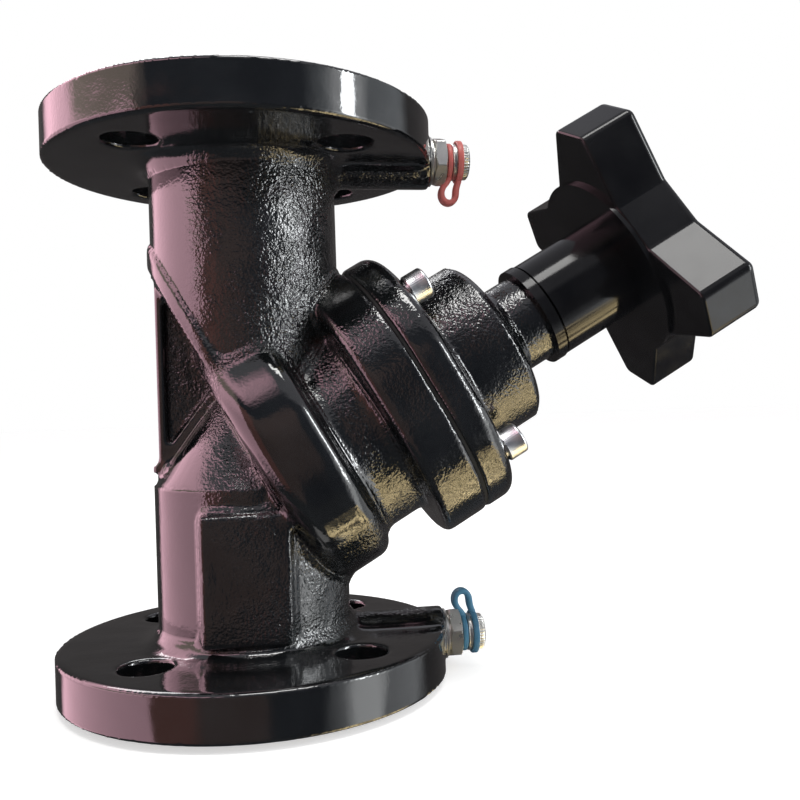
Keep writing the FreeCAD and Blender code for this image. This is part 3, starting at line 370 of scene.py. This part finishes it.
def plain_metal(name, colour, rough_low, rough_high):
    """Turned or plated metal with fine, slightly uneven gloss."""
    mat, tree, shader = new_material(name)
    coords = node(tree, "TexCoord").outputs["Object"]
    set_input(shader, "Metallic", 1.0)
    fleck = noise(tree, coords, 2400.0)
    dark = tuple(c * 0.92 for c in colour)
    toned = blend_colours(tree, step_up(tree, fleck, 0.35, 0.65), dark, colour)
    tree.links.new(toned, shader.inputs["Base Color"])
    rough = remap(tree, noise(tree, coords, 300.0), 0.3, 0.7, rough_low, rough_high)
    tree.links.new(rough, shader.inputs["Roughness"])
    bump(tree, shader, fleck, 0.10, 0.00008)
    return mat


def moulded_plastic(name, dark, light, rough_low, rough_high, relief=0.08):
    """Moulded plastic or rubber, a little uneven in tone and gloss."""
    mat, tree, shader = new_material(name)
    coords = node(tree, "TexCoord").outputs["Object"]
    toned = blend_colours(tree, step_up(tree, noise(tree, coords, 45.0, 3.0), 0.35, 0.65), dark, light)
    tree.links.new(toned, shader.inputs["Base Color"])
    set_input(shader, "Specular IOR Level", 0.36)
    rough = remap(tree, noise(tree, coords, 130.0, 4.0), 0.3, 0.7, rough_low, rough_high)
    tree.links.new(rough, shader.inputs["Roughness"])
    bump(tree, shader, noise(tree, coords, 1400.0), relief, 0.0001)
    return mat


METALS = {
    "brass": ((0.78, 0.58, 0.28), 0.22, 0.4),
    "nickel_brass": ((0.80, 0.79, 0.75), 0.26, 0.36),
    "stem_steel": ((0.58, 0.58, 0.58), 0.18, 0.32),
    "zinc_steel": ((0.86, 0.87, 0.88), 0.26, 0.38),
}
PLASTICS = {
    "black_rubber": ((0.010, 0.010, 0.010), (0.022, 0.022, 0.022), 0.55, 0.75, 0.15),
    "gasket_sheet": ((0.015, 0.015, 0.015), (0.03, 0.03, 0.03), 0.7, 0.9, 0.2),
    "black_plastic": ((0.005, 0.005, 0.006), (0.010, 0.010, 0.011), 0.07, 0.18),
    "red_plastic": ((0.50, 0.10, 0.09), (0.66, 0.20, 0.18), 0.3, 0.5, 0.1),
    "blue_plastic": ((0.05, 0.16, 0.26), (0.09, 0.26, 0.40), 0.3, 0.5, 0.1),
}


def make_materials():
    made = {"black_enamel": black_enamel()}
    for name, values in METALS.items():
        made[name] = plain_metal(name, *values)
    for name, values in PLASTICS.items():
        made[name] = moulded_plastic(name, *values)
    return made


def dress_nodes(materials):
    """Gives every carried-over node its procedural material."""
    slots = {part["node"]: part["material_slot"] for part in frame["record"]["subparts"]}
    for name in frame["nodes"]:
        obj = bpy.data.objects.get(name)
        if obj is None or name not in slots:
            continue
        for slot in obj.material_slots:
            slot.material = materials[slots[name]]
        if not obj.material_slots:
            obj.data.materials.append(materials[slots[name]])


# The enamelled castings

BODY_VOXEL = 0.8 * MM
COVER_VOXEL = 0.7 * MM
WELD_REACH = 2e-6
TOP_TUBE_RADIUS = 34 * MM
LOW_TUBE_RADIUS = 35 * MM
TUBES_MEET = 110 * MM
RIM_RADIUS = 70 * MM
RIM_DEPTH = 18 * MM
BOLT_CIRCLE_RADIUS = 50 * MM
BOLT_HOLE_RADIUS = 9 * MM
CRISP_END = 2.5 * MM
CRISP_BORE = 30 * MM
BARREL_RADIUS = 33.5 * MM
BARREL_START = 84 * MM
COVER_NECK_RADIUS = 17.5 * MM
COVER_NECK_START = 112 * MM
COVER_FACE = 71.5 * MM
COVER_BORE = 16 * MM
COVER_SKIRT = 30 * MM
INSIDE_INSET = 0.5 * MM
EVENING_STEPS = 3
FILLET_STEPS = 60
FILLET_BLEND_STEPS = 4
FILLET_GAIN = 1.6
GRAIN_BLEND_STEPS = 12

# Where the grain changes: distances from the pipe axis, heights, and stations along the stem.
TUBE_LEFT_RAMP = (-20 * MM, -14 * MM)
TUBE_RIGHT_RAMP = (-4 * MM, 8 * MM)
FLANGE_FACE_START = 37 * MM
FLANGE_BACKS = (21 * MM, 187 * MM)
RIM_EDGE = 66 * MM
DRUM_START = 6 * MM
DRUM_END = 37 * MM
DRUM_SIDE = 35.5 * MM
WEB_START = -8 * MM
WEB_HALF_THICK = 4 * MM
WEB_MIDDLE = 114 * MM
WEB_HALF_TALL = 35 * MM
BRANCH_START = 36 * MM
BRANCH_TOP = 183 * MM
JOINT_START = 51 * MM
COVER_SPIGOT_END = 70.5 * MM
BARREL_GRAIN_START = 85 * MM
BARREL_GRAIN_RADIUS = 30 * MM
SHOULDER_START = 106 * MM

# How strongly the sand-cast grain shows through the enamel, by place.
RIM_GRAIN = 0.012
TUBE_GRAIN = 0.03
TUBE_MIDDLE_GRAIN = 0.30
TUBE_RIGHT_GRAIN = 0.20
FLANGE_FACE_GRAIN = 0.05
DRUM_GRAIN = 0.04
WEB_GRAIN = 0.6
BRANCH_GRAIN = 0.34
JOINT_GRAIN = 0.16
COVER_GRAIN = 0.12
BARREL_GRAIN = 0.22
BARREL_TOP_GRAIN = 0.34
COVER_NECK_GRAIN = 0.18


def welded_copy(node_name, piece_name, voxel):
    """A closed, evenly meshed copy of a node."""
    mesh = bpy.data.objects[node_name].data.copy()
    work = bmesh.new()
    work.from_mesh(mesh)
    bmesh.ops.remove_doubles(work, verts=work.verts, dist=WELD_REACH)
    work.to_mesh(mesh)
    work.free()
    piece = bpy.data.objects.new(piece_name, mesh)
    bpy.context.scene.collection.objects.link(piece)
    even = piece.modifiers.new("even", "REMESH")
    even.mode = "VOXEL"
    even.voxel_size = voxel
    bpy.context.view_layer.update()
    graph = bpy.context.evaluated_depsgraph_get()
    fresh = bpy.data.meshes.new_from_object(piece.evaluated_get(graph))
    piece.modifiers.clear()
    piece.data = fresh
    fresh.name = piece_name
    return piece


def neighbour_sums(edges, points):
    count = len(points)
    total = np.empty_like(points)
    for axis in range(3):
        column = points[:, axis]
        total[:, axis] = (np.bincount(edges[:, 0], column[edges[:, 1]], count)
                          + np.bincount(edges[:, 1], column[edges[:, 0]], count))
    return total


def relaxed(points, edges, degree, steps):
    for _ in range(steps):
        points = points + 0.5 * (neighbour_sums(edges, points) / degree[:, None] - points)
    return points


def relaxed_values(values, edges, degree, steps):
    return relaxed(np.repeat(values[:, None], 3, axis=1), edges, degree, steps)[:, 0]


def set_points(mesh, points):
    mesh.vertices.foreach_set("co", points.ravel())
    mesh.update()


def vertex_normals(mesh, points):
    set_points(mesh, points)
    normals = np.empty(len(points) * 3)
    mesh.vertices.foreach_get("normal", normals)
    return normals.reshape(-1, 3)


def snap_to_radius(points, centre_line, direction, radius, where, reach=0.45 * MM):
    """Puts points that lie close to a turned surface exactly on it."""
    offset = points - centre_line
    axial = np.outer(offset @ direction, direction)
    radial = offset - axial
    distance = np.linalg.norm(radial, axis=1)
    near = where & (np.abs(distance - radius) < reach)
    points[near] = (centre_line + axial + radial * (radius / np.maximum(distance, 1e-9))[:, None])[near]
    return near


def cast_skin(node_name, piece_name, voxel, keep_crisp):
    """The casting with its inside corners filled like poured iron; outside edges stay crisp."""
    piece = welded_copy(node_name, piece_name, voxel)
    mesh = piece.data
    points = np.empty(len(mesh.vertices) * 3)
    mesh.vertices.foreach_get("co", points)
    points = points.reshape(-1, 3)
    pairs = np.empty(len(mesh.edges) * 2, dtype=np.int64)
    mesh.edges.foreach_get("vertices", pairs)
    pairs = pairs.reshape(-1, 2)
    degree = np.bincount(pairs.ravel(), minlength=len(points)).astype(float)
    points = relaxed(points, pairs, degree, EVENING_STEPS)
    normals = vertex_normals(mesh, points)
    softened = relaxed(points, pairs, degree, FILLET_STEPS)
    rise = ((softened - points) * normals).sum(axis=1)
    filled = np.where((rise > 0) & ~keep_crisp(points), rise, 0.0)
    filled = relaxed_values(filled, pairs, degree, FILLET_BLEND_STEPS)
    points = points + normals * filled[:, None] * FILLET_GAIN
    return piece, points, pairs, degree


def near_bolt_holes(points):
    near = np.zeros(len(points), dtype=bool)
    for quarter in range(4):
        angle = math.radians(45 + 90 * quarter)
        x = BOLT_CIRCLE_RADIUS * math.cos(angle)
        y = BOLT_CIRCLE_RADIUS * math.sin(angle)
        near |= np.hypot(points[:, 0] - x, points[:, 1] - y) < BOLT_HOLE_RADIUS + 2 * MM
    in_rim = (points[:, 2] < RIM_DEPTH + 1 * MM) | (points[:, 2] > FACE_TO_FACE - RIM_DEPTH - 1 * MM)
    return near & in_rim


def crisp_on_body(points):
    bore = np.hypot(points[:, 0], points[:, 1]) < CRISP_BORE
    ends = (points[:, 2] < CRISP_END) | (points[:, 2] > FACE_TO_FACE - CRISP_END)
    return near_bolt_holes(points) | ends | bore


def along_and_out(points):
    """Each point's station along the stem and its distance from the stem's axis."""
    offset = points - STEM_FOOT
    along = offset @ STEM
    return along, np.linalg.norm(offset - np.outer(along, STEM), axis=1)


def crisp_on_cover(points):
    along, out = along_and_out(points)
    return (out < COVER_BORE) | (along < COVER_FACE)


def finish_piece(piece, body, slot_name, *nodes):
    piece.data.polygons.foreach_set("use_smooth", [True] * len(piece.data.polygons))
    piece.data.materials.clear()
    dress(piece, body, slot_name, *nodes)


def dress(piece, body, slot_name, *nodes):
    piece.data.materials.append(MATERIALS[slot_name])
    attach(piece, body)
    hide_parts(*nodes)


def write_grain(mesh, weights):
    layer = mesh.attributes.new("grain", "FLOAT", "POINT")
    layer.data.foreach_set("value", weights.astype(np.float32))


def ramp_up(value, low, high):
    return np.clip((value - low) / (high - low), 0.0, 1.0)


def body_grain(points, rim):
    """Smooth rims and drum, a rougher tube towards the right, the roughest web and branch."""
    x, y, z = points.T
    along = along_and_out(points)[0]
    radius = np.hypot(x, y)
    branch = (radius > BRANCH_START) & (z < BRANCH_TOP)
    joint = branch & (along > JOINT_START)
    neck = branch & (along > DRUM_END) & ~joint
    drum = (along > DRUM_START) & (along < DRUM_END) & (np.abs(y) > DRUM_SIDE)
    web = (x < WEB_START) & (np.abs(y) < WEB_HALF_THICK) & (np.abs(z - WEB_MIDDLE) < WEB_HALF_TALL)
    flange_face = (radius > FLANGE_FACE_START) & ((z < FLANGE_BACKS[0]) | (z > FLANGE_BACKS[1]))
    grain = (TUBE_GRAIN + ramp_up(x, *TUBE_LEFT_RAMP) * TUBE_MIDDLE_GRAIN
             + ramp_up(x, *TUBE_RIGHT_RAMP) * TUBE_RIGHT_GRAIN)
    grain = np.where(flange_face, FLANGE_FACE_GRAIN, grain)
    grain = np.where(rim | (radius > RIM_EDGE), RIM_GRAIN, grain)
    grain = np.where(drum, DRUM_GRAIN, grain)
    grain = np.where(web, WEB_GRAIN, grain)
    grain = np.where(neck, BRANCH_GRAIN, grain)
    return np.where(joint, JOINT_GRAIN, grain)


def make_valve_body():
    piece, points, pairs, degree = cast_skin("valve_body", "cast_body", BODY_VOXEL, crisp_on_body)
    pipe_axis = np.array((0.0, 0.0, 1.0))
    origin = np.zeros(3)
    rims = (points[:, 2] < RIM_DEPTH) | (points[:, 2] > FACE_TO_FACE - RIM_DEPTH)
    rim = snap_to_radius(points, origin, pipe_axis, RIM_RADIUS, rims)
    high = points[:, 2] > TUBES_MEET
    snap_to_radius(points, origin, pipe_axis, TOP_TUBE_RADIUS, high)
    snap_to_radius(points, origin, pipe_axis, LOW_TUBE_RADIUS, ~high & ~rims)
    points = np.clip(points, np.array(cad_low), np.array(cad_high))
    points[:, 2] = np.clip(points[:, 2], 0.0, FACE_TO_FACE)
    set_points(piece.data, points)
    write_grain(piece.data, relaxed_values(body_grain(points, rim), pairs, degree, GRAIN_BLEND_STEPS))
    finish_piece(piece, "casting", "black_enamel", "valve_body")


def cover_grain(points, along, out):
    """A rougher barrel, most of all on its upper side."""
    above = (points[:, 2] - STEM_CROSS - along * math.cos(STEM_TILT)) > 0
    barrel = (along > BARREL_GRAIN_START) & (out > BARREL_GRAIN_RADIUS)
    grain = np.full(len(points), COVER_GRAIN)
    grain = np.where(barrel, BARREL_GRAIN, grain)
    grain = np.where(barrel & above, BARREL_TOP_GRAIN, grain)
    return np.where(along > SHOULDER_START, COVER_NECK_GRAIN, grain)


def make_bonnet():
    piece, points, pairs, degree = cast_skin("bonnet", "cast_bonnet", COVER_VOXEL, crisp_on_cover)
    along, out = along_and_out(points)
    snap_to_radius(points, STEM_FOOT, STEM, BARREL_RADIUS, along > BARREL_START)
    snap_to_radius(points, STEM_FOOT, STEM, COVER_NECK_RADIUS, along > COVER_NECK_START)
    normals = vertex_normals(piece.data, points)
    inside = (out < COVER_BORE) | ((along < COVER_SPIGOT_END) & (out < COVER_SKIRT))
    points[inside] -= normals[inside] * INSIDE_INSET
    set_points(piece.data, points)
    grain = cover_grain(points, along, out)
    write_grain(piece.data, relaxed_values(grain, pairs, degree, GRAIN_BLEND_STEPS))
    finish_piece(piece, "casting", "black_enamel", "bonnet")


# Turned forms

SEAM_REACH = 1e-7


def in_metres(profile):
    """A profile in millimetres as one in metres; a radius that is a function is in metres already."""
    return [(station * MM, radius if callable(radius) else radius * MM) for station, radius in profile]


def loop_of(work, place, axis, side, radii):
    """A closed ring of vertices square to an axis; radii gives one radius for each."""
    third = axis.cross(side)
    count = len(radii)
    ring = []
    for index, radius in enumerate(radii):
        angle = 2 * math.pi * index / count
        ring.append(work.verts.new(place + (side * math.cos(angle) + third * math.sin(angle)) * radius))
    return ring


def bridge(work, first, second):
    count = len(first)
    for index in range(count):
        after = (index + 1) % count
        work.faces.new((first[index], first[after], second[after], second[index]))


def close_end(work, ring, place, backwards):
    middle = work.verts.new(place)
    count = len(ring)
    for index in range(count):
        after = (index + 1) % count
        face = (ring[after], ring[index], middle) if not backwards else (ring[index], ring[after], middle)
        work.faces.new(face)


def lathe(work, foot, axis, side, profile, count=96):
    """A turned form: profile holds (station, radius); a radius may be a function of the angle."""
    angles = [2 * math.pi * index / count for index in range(count)]
    rings = []
    for station, radius in profile:
        radii = [radius(angle) if callable(radius) else radius for angle in angles]
        rings.append(loop_of(work, foot + axis * station, axis, side, radii))
    for first, second in zip(rings, rings[1:]):
        bridge(work, first, second)
    return rings


def as_piece(work, name, crease_degrees):
    """Ends the mesh work as an object, shaded smooth but broken at real corners."""
    bmesh.ops.recalc_face_normals(work, faces=work.faces)
    mesh = bpy.data.meshes.new(name)
    work.to_mesh(mesh)
    work.free()
    piece = bpy.data.objects.new(name, mesh)
    bpy.context.scene.collection.objects.link(piece)
    mesh.polygons.foreach_set("use_smooth", [True] * len(mesh.polygons))
    mesh.set_sharp_from_angle(angle=math.radians(crease_degrees))
    return piece


def weld(work):
    bmesh.ops.remove_doubles(work, verts=work.verts, dist=SEAM_REACH)


def knurl(radius, depth, teeth):
    def at(angle):
        return radius - depth * (0.5 - 0.5 * math.cos(teeth * angle))
    return at


# The measuring points: nipple, dark ring, strap and cap

POINT_FOOT = {
    "upper": Vector((0.0, 0.0, 194 * MM)),
    "lower": Vector((0.0, 0.0, 12.5 * MM)),
}
HEX_CORNER = {"upper": 21.0, "lower": -16.6}
HEX_HALF = 8.5 * MM
CAP_HEAD = 6.75 * MM
CAP_TEETH = 36
CAP_END = 86.4 * MM
CAP_BORE_END = 84.4 * MM
STRAP_COLOUR = {"upper": "red_plastic", "lower": "blue_plastic"}
STRAP_THICK_HALF = 1.15 * MM
STRAP_WIDE_HALF = 2.6 * MM
STRAP_THICK_POWER = 0.7
STRAP_WIDE_POWER = 0.5
RING_ROUNDING = 0.32
RING_KNEE = 0.35

# Low and high station, inner and outer radius, in millimetres.
DARK_RING = (76.9, 77.5, 5.5, 6.05)
STRAP_RINGS = [(77.6, 79.4, 5.6, 7.0), (81.2, 83.4, 7.05, 8.1)]

# The loop's middle line in millimetres: station, and distance from the measuring point's axis.
STRAP_ROUTE = [
    (78.5, 6.2), (78.2, 7.6), (76.6, 9.2), (75.5, 11.2), (75.4, 13.2), (76.2, 15.2), (78.3, 16.2),
    (80.4, 15.2), (81.2, 13.2), (81.2, 11.0), (81.8, 9.0), (82.3, 7.7),
]
LOOP_SIDE = {"upper": -1.0, "lower": 1.0}
OUTWARD = Vector((1.0, 0.0, 0.0))
NEAR = Vector((0.0, -1.0, 0.0))


def chamfered(corner_degrees, limit_mm):
    """Radius of a hexagon with one corner at a given angle from the near side, cut by a circle."""
    corner = math.radians(corner_degrees)

    def radius(angle):
        within = (angle - corner) % (math.pi / 3) - math.pi / 6
        return min(HEX_HALF / math.cos(within), limit_mm * MM)
    return radius


def make_nipple(which):
    """Washer face, neck, chamfered hexagon and the stub that carries strap and cap."""
    corner = HEX_CORNER[which]
    low_face = chamfered(corner, 8.4)
    chamfer = [(0.16 * step, chamfered(corner, 8.6 + 0.3 * step)) for step in range(5)]
    profile = [
        (54.5, 1.6), (54.5, 6.3), (55.0, 6.5), (70.4, 6.5), (70.41, 9.0), (70.7, 9.3), (71.4, 9.3),
        (71.6, 9.0), (71.65, 7.0), (72.4, 7.0), (72.45, low_face),
    ]
    profile += [(72.5 + depth, radius) for depth, radius in chamfer]
    profile += [(76.8 - depth, radius) for depth, radius in reversed(chamfer)]
    profile += [
        (76.85, low_face), (76.9, 7.6), (76.9, 5.5), (80.4, 5.5), (80.5, 4.0), (83.3, 4.0), (83.4, 3.2),
        (83.4, 1.6), (54.5, 1.6),
    ]
    work = bmesh.new()
    lathe(work, POINT_FOOT[which], OUTWARD, NEAR, in_metres(profile), count=144)
    weld(work)
    piece = as_piece(work, which + "_nipple_hexagon", crease_degrees=20.0)
    dress(piece, "casting", "nickel_brass", which + "_test_nipple")


def make_nipple_ring(which):
    """The thin dark ring between the hexagon and the strap."""
    work = bmesh.new()
    rounded_ring(work, POINT_FOOT[which], DARK_RING)
    weld(work)
    piece = as_piece(work, which + "_dark_ring", crease_degrees=50.0)
    dress(piece, "casting", "black_rubber", which + "_nipple_ring")


def cap_teeth(narrower_mm, depth_mm):
    return knurl(CAP_HEAD - narrower_mm * MM, depth_mm * MM, CAP_TEETH)


def make_cap(which):
    """Screw cap: collar between the strap's rings, knurled head and a low domed end."""
    foot = POINT_FOOT[which]
    profile = [
        (80.6, 4.1), (79.6, 5.7), (79.65, 6.7), (79.9, 6.95), (80.8, 6.95), (81.0, 6.8), (83.3, 6.75),
        (83.5, 6.4), (83.7, cap_teeth(0.0, 0.05)), (83.9, cap_teeth(0.0, 0.32)),
        (85.2, cap_teeth(0.0, 0.32)), (85.6, cap_teeth(0.25, 0.30)), (86.0, cap_teeth(0.8, 0.22)),
        (86.2, 5.2), (86.3, 4.7), (86.2, 4.4), (86.35, 2.5),
    ]
    work = bmesh.new()
    rings = lathe(work, foot, OUTWARD, NEAR, in_metres(profile), count=288)
    close_end(work, rings[-1], foot + OUTWARD * CAP_END, True)
    bore = [(80.6 * MM, 4.1 * MM), (CAP_BORE_END, 4.1 * MM)]
    inner = lathe(work, foot, OUTWARD, NEAR, bore, count=288)
    close_end(work, inner[-1], foot + OUTWARD * CAP_BORE_END, True)
    weld(work)
    piece = as_piece(work, which + "_knurled_cap", crease_degrees=30.0)
    dress(piece, which + "_cap", "nickel_brass", which + "_test_cap")


def rounded_ring(work, foot, sizes_mm):
    """A turned ring with its outer corners rounded."""
    low, high, inner, outer = (size * MM for size in sizes_mm)
    soft = min(outer - inner, high - low) * RING_ROUNDING
    knee = soft * RING_KNEE
    lathe(work, foot, OUTWARD, NEAR, [
        (low, inner), (low, outer - soft), (low + knee, outer - knee), (low + soft, outer),
        (high - soft, outer), (high - knee, outer - knee), (high, outer - soft), (high, inner),
        (low, inner),
    ])


def make_strap(which):
    """Two rings and the bent loop that joins them; the upper loop hangs, the lower one stands."""
    foot = POINT_FOOT[which]
    work = bmesh.new()
    for sizes in STRAP_RINGS:
        rounded_ring(work, foot, sizes)
    sweep_band(work, smooth_route(STRAP_ROUTE), foot, LOOP_SIDE[which])
    weld(work)
    piece = as_piece(work, which + "_loop_strap", crease_degrees=50.0)
    dress(piece, which + "_strap", STRAP_COLOUR[which], which + "_cap_strap")


def smooth_route(points, per_run=5):
    """A cubic B-spline that follows the given points."""
    padded = [points[0], points[0]] + points + [points[-1], points[-1]]
    route = []
    for index in range(len(padded) - 3):
        a, b, c, d = padded[index:index + 4]
        for step in range(per_run):
            t = step / per_run
            wa = (1 - t) ** 3 / 6
            wb = (3 * t ** 3 - 6 * t ** 2 + 4) / 6
            wc = (-3 * t ** 3 + 3 * t ** 2 + 3 * t + 1) / 6
            wd = t ** 3 / 6
            route.append(tuple(a[k] * wa + b[k] * wb + c[k] * wc + d[k] * wd for k in (0, 1)))
    return route


def sweep_band(work, route, foot, side, corners=16):
    """A flat band with rounded edges along a route, in millimetres, in the stem plane."""
    places = [foot + Vector((x * MM, 0.0, side * z * MM)) for x, z in route]
    sections = []
    for index, place in enumerate(places):
        before = places[max(index - 1, 0)]
        after = places[min(index + 1, len(places) - 1)]
        run = (after - before).normalized()
        out = Vector((run.z, 0.0, -run.x))
        ring = []
        for corner in range(corners):
            angle = 2 * math.pi * corner / corners
            c = math.cos(angle)
            s = math.sin(angle)
            wide = math.copysign(abs(c) ** STRAP_WIDE_POWER, c) * STRAP_WIDE_HALF
            thick = math.copysign(abs(s) ** STRAP_THICK_POWER, s) * STRAP_THICK_HALF
            ring.append(work.verts.new(place + Vector((0.0, wide, 0.0)) + out * thick))
        sections.append(ring)
    for first, second in zip(sections, sections[1:]):
        bridge(work, first, second)
    close_end(work, sections[0], places[0], False)
    close_end(work, sections[-1], places[-1], True)


# The cover's screws

JOINT_FACE = 70 * MM
GASKET_THICK = 1 * MM
COVER_FLANGE_THICK = 12.5 * MM
SCREW_HEAD_LOW = JOINT_FACE + GASKET_THICK + COVER_FLANGE_THICK
SCREW_HEAD_TALL = 7.6 * MM
SCREW_HEAD_RADIUS = 5.7 * MM
SCREW_RADIUS = 4.0 * MM
SCREW_LONG = 26.0 * MM
SCREW_PITCH = 64 * MM
SCREW_SPREAD = 60 * MM
SCREW_TEETH = 48
SOCKET_CORNER = 3.46 * MM
SOCKET_DEEP = 4.6 * MM


def socket_key(angle):
    """Radius of the hexagon socket."""
    within = angle % (math.pi / 3) - math.pi / 6
    return SOCKET_CORNER * math.cos(math.pi / 6) / math.cos(within)


def screw_profile():
    low = SCREW_HEAD_LOW
    top = low + SCREW_HEAD_TALL
    head = SCREW_HEAD_RADIUS
    teeth = knurl(head, 0.10 * MM, SCREW_TEETH)
    return [
        (low - SCREW_LONG, 3.4 * MM), (low - SCREW_LONG + 0.6 * MM, SCREW_RADIUS), (low, SCREW_RADIUS),
        (low + 0.01 * MM, 5.2 * MM), (low + 0.5 * MM, head), (low + 0.7 * MM, teeth), (top - 1.3 * MM, teeth),
        (top - 1.1 * MM, head), (top - 0.7 * MM, head - 0.05 * MM), (top - 0.35 * MM, head - 0.25 * MM),
        (top - 0.1 * MM, head - 0.6 * MM), (top, head - 1.0 * MM), (top, 4.1 * MM),
        (top - 0.3 * MM, socket_key), (top - 3.9 * MM, socket_key),
    ]


def make_screws():
    """Four socket-head screws with broken edges and a fine knurl on their heads."""
    work = bmesh.new()
    axis = Vector(STEM)
    across = Vector(ACROSS)
    socket_floor = SCREW_HEAD_LOW + SCREW_HEAD_TALL - SOCKET_DEEP
    for step_across in (-1, 1):
        for step_aside in (-1, 1):
            foot = (Vector(STEM_FOOT) + across * (step_across * SCREW_PITCH / 2)
                    + Vector((0.0, step_aside * SCREW_SPREAD / 2, 0.0)))
            rings = lathe(work, foot, axis, across, screw_profile(), count=144)
            close_end(work, rings[-1], foot + axis * socket_floor, True)
            close_end(work, rings[0], foot + axis * (SCREW_HEAD_LOW - SCREW_LONG), False)
    piece = as_piece(work, "cover_screws", crease_degrees=28.0)
    dress(piece, "casting", "zinc_steel", "bonnet_screws")


bpy.context.scene.view_settings.view_transform = "Standard"
make_camera()
make_lamps()
make_world()
make_floor()
MATERIALS = make_materials()
dress_nodes(MATERIALS)
make_valve_body()
make_bonnet()
make_screws()
for which in POINT_FOOT:
    make_nipple(which)
    make_nipple_ring(which)
    make_cap(which)
    make_strap(which)
